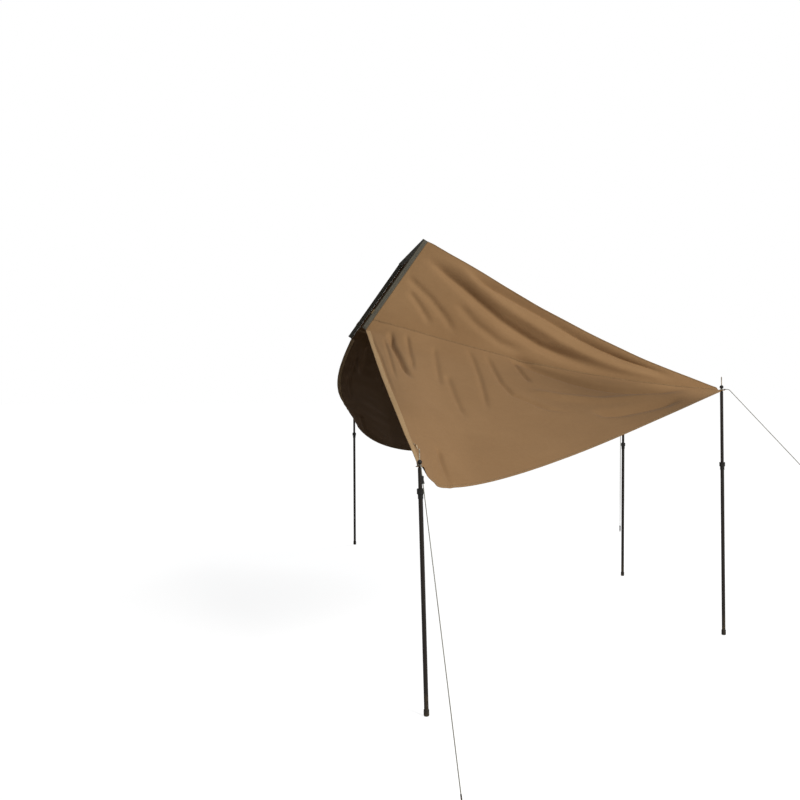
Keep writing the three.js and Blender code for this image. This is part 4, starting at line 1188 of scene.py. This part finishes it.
FLAT_TAPE = folded_back([(0.3, -0.5), (1, -0.8), (26, -0.8), (28.5, -1.1), (31.2, -0.9)], [(31.6, 0)])
BEAD = [(34.9 + 4.9 * math.cos(a), 4.9 * math.sin(a)) for a in np.linspace(-2.75, 2.75, 23)]
WELT = folded_back([(0.3, -0.6), (1, -0.95), (24, -0.95), (25, -1.3), (29, -1.3)], BEAD)
WELT_INSET = 0.013  # from the corners
WELT_MITRE = (0.0125, 0.0), (0.0118, 0.008)  # how much further its ends reach, at the cloth and bead
COIL_AT, COIL_RADIUS, COIL_PITCH, COIL_THREAD, CORE = 0.03283, 0.0023, 0.0024, 0.0006, 0.0016
ZIP_LENGTH = float(np.linalg.norm(attach("right", 1) - attach("right", 0)))
ZIP_FRAMES = {}
for side in SIGN:
    low = attach(side, 0)
    along = unit(attach(side, 1) - low)
    inward = FRONT_TIP[side] - low
    away = -unit(inward - along * (inward @ along))
    ZIP_FRAMES[side] = (low, away, np.cross(along, away), along)
    tape = tape_strip(f"{side}_zip_cloth", ZIP_FRAMES[side], FLAT_TAPE, ZIP_LENGTH)
    t = np.arange(0, ZIP_LENGTH - 0.002, COIL_PITCH / 9)
    spin = 2 * np.pi * t / COIL_PITCH
    wound = np.stack([COIL_AT + COIL_RADIUS * np.cos(spin), COIL_RADIUS * np.sin(spin), t + 0.001], 1)
    wound = stood(ZIP_FRAMES[side], wound)
    coil = cord_piece(f"{side}_zip_coil", wound, COIL_THREAD, coil_finish.material, sides=5)
    core = np.stack([np.full(40, COIL_AT), np.zeros(40), np.linspace(0.0005, ZIP_LENGTH - 0.0005, 40)], 1)
    core = cord_piece(f"{side}_zip_core", stood(ZIP_FRAMES[side], core), CORE, tape_cloth.material)
    dress(tape, "canopy", "tape", f"{side}_zip_tape")
    dress(coil, "canopy", "tape")
    dress(core, "canopy", "tape")
    print(side, "zip", round(ZIP_LENGTH, 3), "m,", len(coil.data.polygons), "faces of coil")
front_out, _, _, front_height = POLES["front_right"]
welt_along = np.array([0, 1.0, 0])
welt_away = -unit(np.array([front_out - ATTACH_LEAN, 0, front_height - ATTACH_HIGH]))
WELT_FRAME = (
    attach("right", 1) + [0, WELT_INSET, 0], welt_away, np.cross(welt_along, welt_away), welt_along
)
welt = tape_strip("welt", WELT_FRAME, WELT, 2 * (ATTACH_HALF_WIDTH - WELT_INSET), WELT_MITRE)
dress(welt, "canopy", "tape", "top_welt")

# %% [markdown]
# ## What stands for what
# Each cloth piece takes the place of its CAD solid and rides on the canopy. The panels are sewn
# to each other and hang stretched between the tie-on line and the poles. Four of them are
# triangles or nearly so.

for panel, piece in panels.items():
    dress(piece, "canopy", "canvas", "roof_panel" if panel == "roof" else panel)
    held = ["top_welt"] if panel == "roof" else [f"{panel.split('_')[0]}_zip_tape"]

# %% [markdown]
# ## Turned pieces
# Most of a pole is round: its foot, tubes, lock, head and ball would all be turned, drawn or
# moulded round an axis. In Blender that is a profile and a spin. One vertex is pulled along the
# profile, and the Spin tool turns the profile once round Z. The ends meet, so doubles are merged
# and the faces are turned outwards. Each shape is modelled once and copied to the four poles.

# %% The spin helper


def start_from(add, **how):
    """Adds a primitive with nothing else selected, and opens it for editing."""
    bpy.ops.object.select_all(action="DESELECT")
    add(**how)
    mode("EDIT")
    return bpy.context.object


def drawn(points):
    """One vertex, pulled along from point to point. The points are in millimetres."""
    points = [Vector(point) * 1e-3 for point in points]
    piece = start_from(bpy.ops.mesh.primitive_plane_add, size=1e-3)
    bpy.ops.mesh.merge(type="CENTER")
    bpy.ops.transform.translate(value=points[0])
    for before, after in zip(points, points[1:]):
        bpy.ops.mesh.extrude_vertices_move(TRANSFORM_OT_translate={"value": after - before})
    select("SELECT")
    return piece


def done(name, angle=32):
    """Closes, cleans and shades what is being edited."""
    select("SELECT")
    bpy.ops.mesh.remove_doubles(threshold=1e-6)
    bpy.ops.mesh.normals_make_consistent(inside=False)
    mode("OBJECT")
    bpy.ops.object.shade_smooth_by_angle(angle=math.radians(angle))
    piece = bpy.context.object
    piece.name = piece.data.name = name
    return piece


def turned(name, profile, steps=48, angle=32, base=0.0):
    """Spins a profile of (radius, height over the base) in millimetres round Z."""
    drawn([(r, 0, base + z) for r, z in profile])
    bpy.ops.mesh.spin(steps=steps, angle=2 * math.pi, center=(0, 0, 0), axis=(0, 0, 1))
    return done(name, angle)


def ring_of(*profile):
    return [*profile, profile[0]]


def copy_to(model, name, matrix, material, body, slot, *nodes):
    """A dressed copy of a model, with its place in its own mesh."""
    mesh = model.data.copy()
    mesh.transform(matrix)
    mesh.materials.clear()
    mesh.materials.append(material)
    return dress(shown(name, mesh), body, slot, *nodes)


def put_away(*models):
    for model in models:
        bpy.data.objects.remove(model, do_unlink=True)


print("spin helper ready")

# %% [markdown]
# ## Finishes of the poles
# The tubes are aluminium with a dark brown powder coat, which has a fine orange-peel skin and
# gets long pale rubs where one tube slides in the other. The nylon parts are duller and a little
# grained. Rubber is matt, and dust from the ground sits on the feet. The spikes and eyelets are
# plated steel with fine turning marks.

# %% Pole finishes


def dusty(finish, tone, low=0.0, high=0.16):
    """Dust that thins out with the height above the ground."""
    height = finish.xyz()[2]
    share = (1 - finish.ramp(height, low, high)) * finish.ramp(finish.noise(45.0, 4.0), 0.35, 0.75)
    return finish.mix(share * 0.55, tone, colour(128, 112, 86)), share


tube_finish = Finish("powder coat", Specular_IOR_Level=0.2)
grain = tube_finish.noise(1.0, 1.0, tube_finish.stretch(700, 700, 16))
rub = tube_finish.ramp(grain, 0.66, 0.8)
worn = tube_finish.noise(7.0, 3.0)
coat, dust_and_painted_shade = dusty(tube_finish, tube_finish.mix(worn, colour(20, 15, 11), colour(32, 25, 19)))
coat = tube_finish.mix(rub * 0.2, coat, colour(72, 63, 51))
tube_finish.set(
    Base_Color=coat, Roughness=0.42 + worn * 0.14 + dust_and_painted_shade * 0.3,
    Normal=tube_finish.bump(tube_finish.noise(1200.0, 2.0), 0.00002),
)

nylon = Finish("nylon", Specular_IOR_Level=0.22)
speck = nylon.noise(240.0, 3.0)
scuff = nylon.ramp(nylon.noise(60.0, 5.0, rough=0.7), 0.58, 0.72)
nylon.set(
    Base_Color=nylon.mix(scuff * 0.5, colour(17, 15, 12), colour(46, 41, 35)),
    Roughness=0.46 + speck * 0.16, Normal=nylon.bump(nylon.noise(1100.0, 2.0), 0.00005),
)

rubber = Finish("rubber", Specular_IOR_Level=0.3)
clean = rubber.mix(rubber.noise(90.0, 3.0), colour(22, 20, 18), colour(36, 33, 29))
rubber_tone, rubber_dust = dusty(rubber, clean, -0.01, 0.05)
rubber.set(
    Base_Color=rubber_tone, Roughness=0.78 + rubber_dust * 0.15,
    Normal=rubber.bump(rubber.noise(800.0, 3.0), 0.0001),
)

steel = Finish("plated steel", Metallic=1.0)
turning = steel.noise(1.0, 1.0, steel.stretch(60, 60, 2600))
tarnish = steel.ramp(steel.noise(130.0, 4.0), 0.5, 0.75)
steel.set(
    Base_Color=steel.mix(tarnish * 0.6, colour(128, 120, 106), colour(90, 80, 66)),
    Roughness=0.46 + turning * 0.16 + tarnish * 0.2, Normal=steel.bump(turning, 0.00003),
)

bronze = Finish("dark bronze", Metallic=1.0)
handled = bronze.ramp(bronze.noise(160.0, 3.0), 0.3, 0.85)
bronze.set(
    Base_Color=bronze.mix(handled, colour(88, 74, 54), colour(124, 106, 78)),
    Roughness=0.42 - handled * 0.1, Normal=bronze.bump(bronze.noise(700.0, 2.0), 0.00004),
)
print("tube, nylon, rubber, steel and bronze ready")

# %% [markdown]
# ## Foot, tubes and lock
# The foot is a ribbed rubber boot over the lower tube, rounded below so that a leaning pole still
# stands on it. The lock is a collet: a slit cone on the lower tube's head that its nut, the twist
# collar, squeezes on to the upper tube. Profiles are in millimetres, over the foot or the collar.

# %% Foot, lower tube and collet
foot_profile = [(0, 0), (8.6, 0), (10.5, 0.35), (13.2, 1.5), (14.7, 3.4), (15.4, 6.2), (15.5, 9)]
for k in range(5):
    foot_profile += [(r, 10.5 + 4.6 * k + z) for r, z in ((15.5, 0), (14.8, 0.5), (14.8, 1.7), (15.5, 2.2))]
foot_profile += [(15.5, 33.8), (15.1, 35.3), (14.2, 36), (12.7, 36), (12.55, 35.2), (12.55, 7.2), (0, 7.2)]
foot = turned("foot_model", foot_profile, 48, 50)

COLLAR = 1196.0  # the collar's underside over the foot
lower_tube = turned("lower_tube_model", ring_of(
    (12.2, 7.3), (12.5, 7.6), (12.5, COLLAR + 2.4), (12.2, COLLAR + 2.7), (11.6, COLLAR + 2.7),
    (11.3, COLLAR + 2.4), (11.3, 7.6), (11.6, 7.3),
))
thread = []
for k in range(4):
    thread += [(r, z + 1.75 * k) for r, z in ((14.4, 0), (14.4, 0.5), (13.8, 0.9), (13.8, 1.35))]
collet = turned("collet_model", ring_of(
    (12.55, -24), (14.7, -24), (15.4, -23.3), (15.4, -21), (14.9, -20.5), (14.9, -5), (15.4, -4.5),
    (15.4, -0.9), (14.9, -0.3), *thread, (14.4, 7), (12.6, 18.6), (12.2, 19), (11.3, 19), (11.3, 3),
    (12.55, 3),
), 48, 35, COLLAR)
print("foot", len(foot.data.polygons), "collet", len(collet.data.polygons), "faces")

# %% [markdown]
# ## Twist collar
# The collar's grip is a row of shallow flutes. A blank ring is turned with six steps to a flute,
# and then the vertices in the middle of each flute are pulled in towards the axis.

# %% Twist collar with its flutes
FLUTES, COLLAR_RADIUS = 16, 19.5
collar = turned("collar_model", ring_of(
    (14.7, 0), (17, 0), (18.5, 0.7), *[(COLLAR_RADIUS, z) for z in (2.5, 3.6, 5.2, 24.8, 26.4, 27.5)],
    (18.5, 29.3), (17, 30), (12.4, 30), (11.3, 29), (11.3, 21.5), (12.9, 19.4), (14.7, 7.4),
), FLUTES * 6, 28, COLLAR)
mode("EDIT")
for phases, depth in (((3,), 1.4), ((2, 4), 0.95)):
    select("DESELECT")
    mode("OBJECT")
    for vertex in collar.data.vertices:
        x, y, z = vertex.co * 1e3
        step = round(math.atan2(y, x) / (2 * math.pi) * FLUTES * 6) % 6
        inside = COLLAR + 4 < z < COLLAR + 26
        vertex.select = step in phases and inside and math.hypot(x, y) > COLLAR_RADIUS - 0.5
    mode("EDIT")
    bpy.ops.transform.resize(value=(1 - depth / COLLAR_RADIUS, 1 - depth / COLLAR_RADIUS, 1))
collar = done("collar_model", 28)
print("collar", len(collar.data.polygons), "faces,", sum(v.select for v in collar.data.vertices), "points")

# %% [markdown]
# ## Upper tube, bush, head and ball
# The head is a nylon plug in the tube with a ball-shaped shoulder that the eyelet rests on, and a
# steel spike that is pressed into it and goes through the eyelet. The shoulder's round top lets
# the pole lean. A nylon ball with a hole is pushed down on the spike to keep the eyelet and the
# line from lifting off. It is moulded in two halves, and a fine groove shows where they part.

# %% Upper tube, bush, head and ball
TUBE = 1130.0  # the upper tube's length
upper_tube = turned("upper_tube_model", ring_of(
    (10.7, 0), (11, 0.3), (11, TUBE - 0.3), (10.7, TUBE), (10.1, TUBE), (9.8, TUBE - 0.3), (9.8, 0.3),
    (10.1, 0),
))
bush = turned("bush_model", ring_of(
    (5, -7.3), (10.2, -7.3), (11, -6.6), (11, -5.2), (10.5, -4.8), (10.5, -3), (11, -2.6), (11, -0.9),
    (10.6, -0.3), (9.5, -0.3), (9.5, 19), (8.9, 20), (5, 20),
))
SHOULDER, SHOULDER_CENTRE, PLUG_TOP = 11, -12.371, 3.65  # two radii, and between them a height
plug_profile = [(2.9, -38.87), (8.7, -38.87), (9.5, -38), (9.5, -14.87), (10.7, -14.87), (11, -14.5)]
for turn in np.linspace(0, math.acos(PLUG_TOP / SHOULDER), 14):
    plug_profile.append((SHOULDER * math.cos(turn), SHOULDER_CENTRE + SHOULDER * math.sin(turn)))
plug = turned("plug_model", ring_of(*plug_profile, (PLUG_TOP, -6.0), (2.9, -6.5)), 40, 40)
pin = turned("pin_model", [
    (0, -36), (2.2, -36), (2.85, -35.3), (2.85, -6.6), (3.6, -5.9), (3.6, 70), (3.3, 70.5), (3.3, 72),
    (3.6, 72.5), (3.6, 88.6), (3.45, 90.4), (3.0, 92.4), (2.2, 94.3), (1.2, 95.6), (0.5, 95.95), (0, 96),
], 32, 40)
BALL, BALL_HOLE, GROOVE = 13.5, 4.5, 0.25
ball_profile = []
for turn in np.linspace(-math.acos(BALL_HOLE / BALL), math.acos(BALL_HOLE / BALL), 25):
    radius = BALL - GROOVE if abs(turn) < 0.03 else BALL
    ball_profile.append((radius * math.cos(turn), BALL + BALL * math.sin(turn)))
top = ball_profile[-1][1]
ball = turned("ball_model", ring_of((3.9, 2 * BALL - top + 0.7), *ball_profile, (3.9, top - 0.7)), 48, 50)
print("plug", len(plug.data.polygons), "ball", len(ball.data.polygons), "faces")

# %% [markdown]
# ## Eyelets
# An eyelet is a tube of thin metal whose two ends are rolled outwards over the patch, so its lips
# are round towards the cloth's middle and thin at their rims.

# %% Eyelet
over_cloth = [(7.3, 3.2), (7.9, 3.5), (9.6, 3.45), (11.4, 3.2), (12.6, 2.8), (13, 2.45), (12.8, 2.28),
              (8.3, 2.28)]
under_cloth = [(r, -z) for r, z in over_cloth[::-1]]
eyelet_ring = turned("eyelet_model", ring_of((7, -2.7), (7, 2.7), *over_cloth, *under_cloth), 56, 50)
TUBE_TOP = -0.01517  # under the eyelet's middle
BALL_ON_LINE, BALL_ON_CLOTH = 0.0094, 0.0041  # the ball's underside, over the eyelet's middle
for pole in POLES:
    upright = pole_matrix(pole)
    at_eyelet = pole_matrix(pole, LENGTH[pole])
    tube_bottom = pole_matrix(pole, LENGTH[pole] + TUBE_TOP - TUBE * 1e-3)
    ball_seat = BALL_ON_LINE if pole in lines else BALL_ON_CLOTH
    for model, name, matrix, finish, body, slot in (
        (foot, "foot", upright, rubber, "lower", "rubber"),
        (lower_tube, "lower_tube", upright, tube_finish, "lower", "pole_tube"),
        (collet, "lock_collet", upright, nylon, "lower", "dark_plastic"),
        (collar, "twist_collar", upright, nylon, "collar", "dark_plastic"),
        (upper_tube, "upper_tube", tube_bottom, tube_finish, "upper", "pole_tube"),
        (bush, "end_bush", tube_bottom, nylon, "upper", "dark_plastic"),
        (pin, "spike", at_eyelet, steel, "upper", "steel"),
        (ball, "ball", pole_matrix(pole, LENGTH[pole] + ball_seat), nylon, "ball", "dark_plastic"),
    ):
        node = f"{pole}_{name}"
        copy_to(model, f"{node}_piece", matrix, finish.material, f"{pole}_{body}", slot, node)
    copy_to(plug, f"{pole}_plug_piece", at_eyelet, nylon.material, f"{pole}_upper", "dark_plastic")
    node = f"{pole}_eyelet"
    copy_to(eyelet_ring, f"{node}_piece", at_eyelet, bronze.material, "canopy", "steel", node)
put_away(foot, lower_tube, collet, collar, upper_tube, bush, plug, pin, ball, eyelet_ring)
print("four poles dressed")

# %% [markdown]
# ## Line tensioners
# A tensioner is a moulded nylon runner. The line goes through it lengthwise, and friction holds it
# where it is pushed. It could be an extruded outline, but a moulding also narrows and has ribs for
# the fingers, so it starts as a block at the runner's size. Its long edges are bevelled into a flat
# rounded bar, cuts across it give rings that can be pinched, and its ends are inset and sunk.

# %% Choosing what to edit by its place


def pick(piece, kind, test):
    """Selects what passes a test of its middle, in millimetres, and its direction."""
    bpy.ops.mesh.select_mode(type=kind)
    select("DESELECT")
    mode("OBJECT")
    points = piece.data.vertices
    if kind == "FACE":
        for face in piece.data.polygons:
            face.select = test(face.center * 1e3, face.normal)
    elif kind == "EDGE":
        for edge in piece.data.edges:
            a, b = (points[k].co for k in edge.vertices)
            edge.select = test((a + b) * 500, (b - a).normalized())
    else:
        for point in points:
            point.select = test(point.co * 1e3, point.normal)
    mode("EDIT")


def cut_across(heights):
    for height in heights:
        select("SELECT")
        bpy.ops.mesh.bisect(plane_co=(0, 0, height * 1e-3), plane_no=(0, 0, 1))


print("helpers to pick and to cut ready")

# %% [markdown]
# ## The runner's ribs and waist
# Where the block is cut across, it gets rings of vertices. Each ring is squeezed towards the
# middle of the runner, which gives a waist, and every second one between the ends a little more,
# which leaves ribs. Scaling what was picked keeps the faces whole, and nothing has to be joined.

# %% Tensioners
RUNNER = (0.017, 0.009, 0.046)  # width, thickness and length
runner = start_from(bpy.ops.mesh.primitive_cube_add, size=1)
bpy.ops.transform.resize(value=RUNNER)
pick(runner, "EDGE", lambda middle, way: abs(way.z) > 0.9)
bpy.ops.mesh.bevel(offset=0.0042, segments=6, affect="EDGES")
pick(runner, "EDGE", lambda middle, way: abs(middle.z) > 22.9)
bpy.ops.mesh.bevel(offset=0.0009, segments=2, affect="EDGES")
rings = [-20, -17.5, *range(-15, 16, 2), 17.5, 20]
cut_across(rings)
for k, height in enumerate(rings):
    pick(runner, "VERT", lambda middle, way: abs(middle.z - height) < 0.1)
    waist = 1 - 0.2 * math.cos(math.pi * height / 42) ** 2
    between_ribs = k % 2 and abs(height) < 16
    bpy.ops.transform.resize(value=(waist * 0.97, 0.9, 1) if between_ribs else (waist, 1, 1))
pick(runner, "FACE", lambda middle, way: abs(way.z) > 0.99 and abs(middle.z) > 22.9)
bpy.ops.mesh.inset(thickness=0.0009)
bpy.ops.mesh.inset(thickness=0.0004, depth=-0.003)
runner = done("tensioner_model", 35)

TAUT_PLACE, HANGING_PLACE = 0.075, 0.439  # along the line from its bend, and above the foot
after, down = lines["rear_right"][4:]
on_line = Matrix.Translation(after + down * TAUT_PLACE) @ turned_up(down)
on_loose = Matrix.Translation((-ASIDE, 0, HANGING_PLACE)) @ Matrix.Rotation(math.pi / 2, 4, "Z")
tensioners = {}
for pole, matrix in (("rear_right", on_line), ("front_left", pole_matrix("front_left") @ on_loose)):
    node = f"{pole}_tensioner"
    tensioners[pole] = copy_to(runner, f"{node}_piece", matrix, nylon.material, node, "dark_plastic", node)
print("tensioner", len(runner.data.polygons), "faces")
put_away(runner)

# %% [markdown]
# ## The cords
# Each free cord's length is printed, with whether it lies taut or hangs.

cords = [(pole, *line[:4], "taut") for pole, line in lines.items()]
cords.append(("front_left", loose_line, loose_path, loose_length, [tie, stopper], "hanging"))
for pole, line, path, length, pieces, lay in cords:
    pieces + ([tensioners[pole]] if pole in tensioners else [])
    print(line.name, round(length, 3), "m", lay)

# %% [markdown]
# ## Zip sliders
# A slider is a small cast channel that closes round the coil, with a bail on its face and a pull
# tab through the bail. The channel's outline is drawn by pulling one vertex round it, filled and
# extruded along the zip, and then its outer edges are bevelled as a casting's are. The tab is a
# plate with rounded corners and raised grip bars. The left one faces the other way, so it is
# modelled with the other sign and not mirrored, which would turn its faces inside out.

# %% Sliders
CHANNEL = ring_of(
    (27.5, 3.3), (27.5, 5.8), (38.8, 5.8), (38.8, -5.8), (27.5, -5.8), (27.5, -3.3), (36.3, -3.3),
    (36.3, 3.3),
)
GRIP_BARS = (-12.75, -9.75, -6.75, -3.75)  # their heights on the tab
MIDDLE_X, TAB_FROM = 33, 5.9  # the bail's and the tab's middle, and the tab's inner side
SLIDER_START = 0.140  # above the lower end of the tape


def slider_model(outward):
    piece = drawn([(x, y, 0) for x, y in CHANNEL])
    bpy.ops.mesh.remove_doubles(threshold=1e-6)
    bpy.ops.mesh.edge_face_add()
    bpy.ops.mesh.extrude_region_move(TRANSFORM_OT_translate={"value": (0, 0, 0.022)})
    pick(piece, "EDGE", lambda middle, way: abs(middle.y) > 5.7 or middle.x > 38.7)
    bpy.ops.mesh.bevel(offset=0.0011, segments=3, affect="EDGES")
    cut_across((5, 11, 17))
    for height in (5, 11, 17):
        pick(piece, "VERT", lambda middle, way: abs(middle.z - height) < 0.1 and abs(middle.y) > 4.6)
        bpy.ops.transform.resize(value=(0.97, 0.96, 1))
    select("DESELECT")
    bpy.ops.mesh.primitive_torus_add(
        location=(MIDDLE_X * 1e-3, outward * 0.0061, 0.0165), rotation=(0, math.pi / 2, 0),
        major_radius=0.0027, minor_radius=0.0007, major_segments=24, minor_segments=8,
    )
    bpy.ops.transform.resize(value=(1, 1, 1.5))
    select("DESELECT")
    bpy.ops.mesh.primitive_cube_add(size=1, location=(MIDDLE_X * 1e-3, outward * 0.0068, 0.002))
    bpy.ops.transform.resize(value=(0.009, 0.0013, 0.038))

    def corner(middle, way):
        off = abs(middle.x - MIDDLE_X)
        on_tab = middle.y * outward > TAB_FROM and not (middle.z > 11 and off < 0.9)
        return on_tab and abs(way.y) > 0.9 and abs(off - 4.5) < 0.1

    pick(piece, "EDGE", corner)
    bpy.ops.mesh.bevel(offset=0.0032, segments=5, affect="EDGES")
    for height in (-13.5, -12, -10.5, -9, -7.5, -6, -4.5, -3):
        pick(piece, "FACE", lambda middle, way: middle.y * outward > TAB_FROM and middle.z < 11)
        bpy.ops.mesh.bisect(plane_co=(0, 0, height * 1e-3), plane_no=(0, 0, 1))

    def grip_bar(middle, way):
        return way.y * outward > 0.9 and min(abs(middle.z - bar) for bar in GRIP_BARS) < 0.3

    pick(piece, "FACE", grip_bar)
    bpy.ops.mesh.inset(thickness=0.0005, depth=0.0003, use_individual=True)
    return done("slider_model", 30)


for side, outward in (("right", 1), ("left", -1)):
    model = slider_model(outward)
    start, away, normal, along = ZIP_FRAMES[side]
    turn = Matrix(np.stack([away, normal, along], 1).tolist()).to_4x4()
    matrix = Matrix.Translation(start + along * SLIDER_START) @ turn
    body = f"{side}_slider"
    copy_to(model, f"{body}_piece", matrix, bronze.material, body, "dark_plastic", f"{side}_zip_slider")
    print(body, len(model.data.polygons), "faces")
    put_away(model)

# %% [markdown]
# ## Floor, light and sky
# The floor and the sky are white to the camera only, as in a product photograph on white. To the
# canopy the floor is a mid grey, so it doesn't light the underside more than grass would. The
# floor still shows the object's shadow, because its white is partly a lit surface.

# %% Stage
bpy.ops.object.select_all(action="DESELECT")
bpy.ops.mesh.primitive_plane_add(size=120, location=(0, 0, -0.002))
floor = bpy.context.object
floor.name = "floor"
ground = Finish("floor", Base_Color=(0.16, 0.16, 0.16, 1), Roughness=1.0, Specular_IOR_Level=0.0)
distance = ground.node("ShaderNodeVectorMath", {"operation": "LENGTH"}, {0: ground.place()}, output=1)
far_off = ground.ramp(distance, 3.0, 7.0)
white = ground.node("ShaderNodeEmission", None, {"Strength": 0.87 + far_off * 0.15})
shadowed = ground.mix(far_off, (0.32, 0.32, 0.32, 1), (0.01, 0.01, 0.01, 1))
pale = ground.node("ShaderNodeBsdfDiffuse", None, {"Color": shadowed})
both = ground.node("ShaderNodeAddShader", None, {0: white, 1: pale})
grey = Wire(ground, ground.shader.outputs[0])
shown_floor = ground.node("ShaderNodeMixShader", None, {0: ground.seen(), 1: grey, 2: both})
ground.plug(ground.output.inputs["Surface"], shown_floor)
floor.data.materials.append(ground.material)

world = bpy.data.worlds.new("sky")
scene.world = world
world.use_nodes = True
air = Nodes(world.node_tree)
sky = air.node("ShaderNodeBackground", None, {"Color": (0.93, 0.96, 1, 1), "Strength": 0.22})
plain = air.node("ShaderNodeBackground", None, {"Color": (1, 1, 1, 1), "Strength": 1.0})
shown_sky = air.node("ShaderNodeMixShader", None, {0: air.seen(), 1: sky, 2: plain})
air.plug(air.tree.nodes.new("ShaderNodeOutputWorld").inputs["Surface"], shown_sky)


def lamp(name, place, aim, size, power, tint):
    data = bpy.data.lights.new(name, "AREA")
    data.shape, data.size, data.energy, data.color = "DISK", size, power, tint
    made = shown(name, data)
    made.location = place
    made.rotation_euler = (Vector(aim) - Vector(place)).to_track_quat("-Z", "Y").to_euler()


lamp("key", (3.0, -8.6, 5.5), (0, -1, 1.6), 2.5, 750, (1, 0.98, 0.95))
lamp("fill", (5.5, 6.5, 5.0), (0, 1, 1.6), 4, 500, (0.97, 0.98, 1))
print("stage ready")
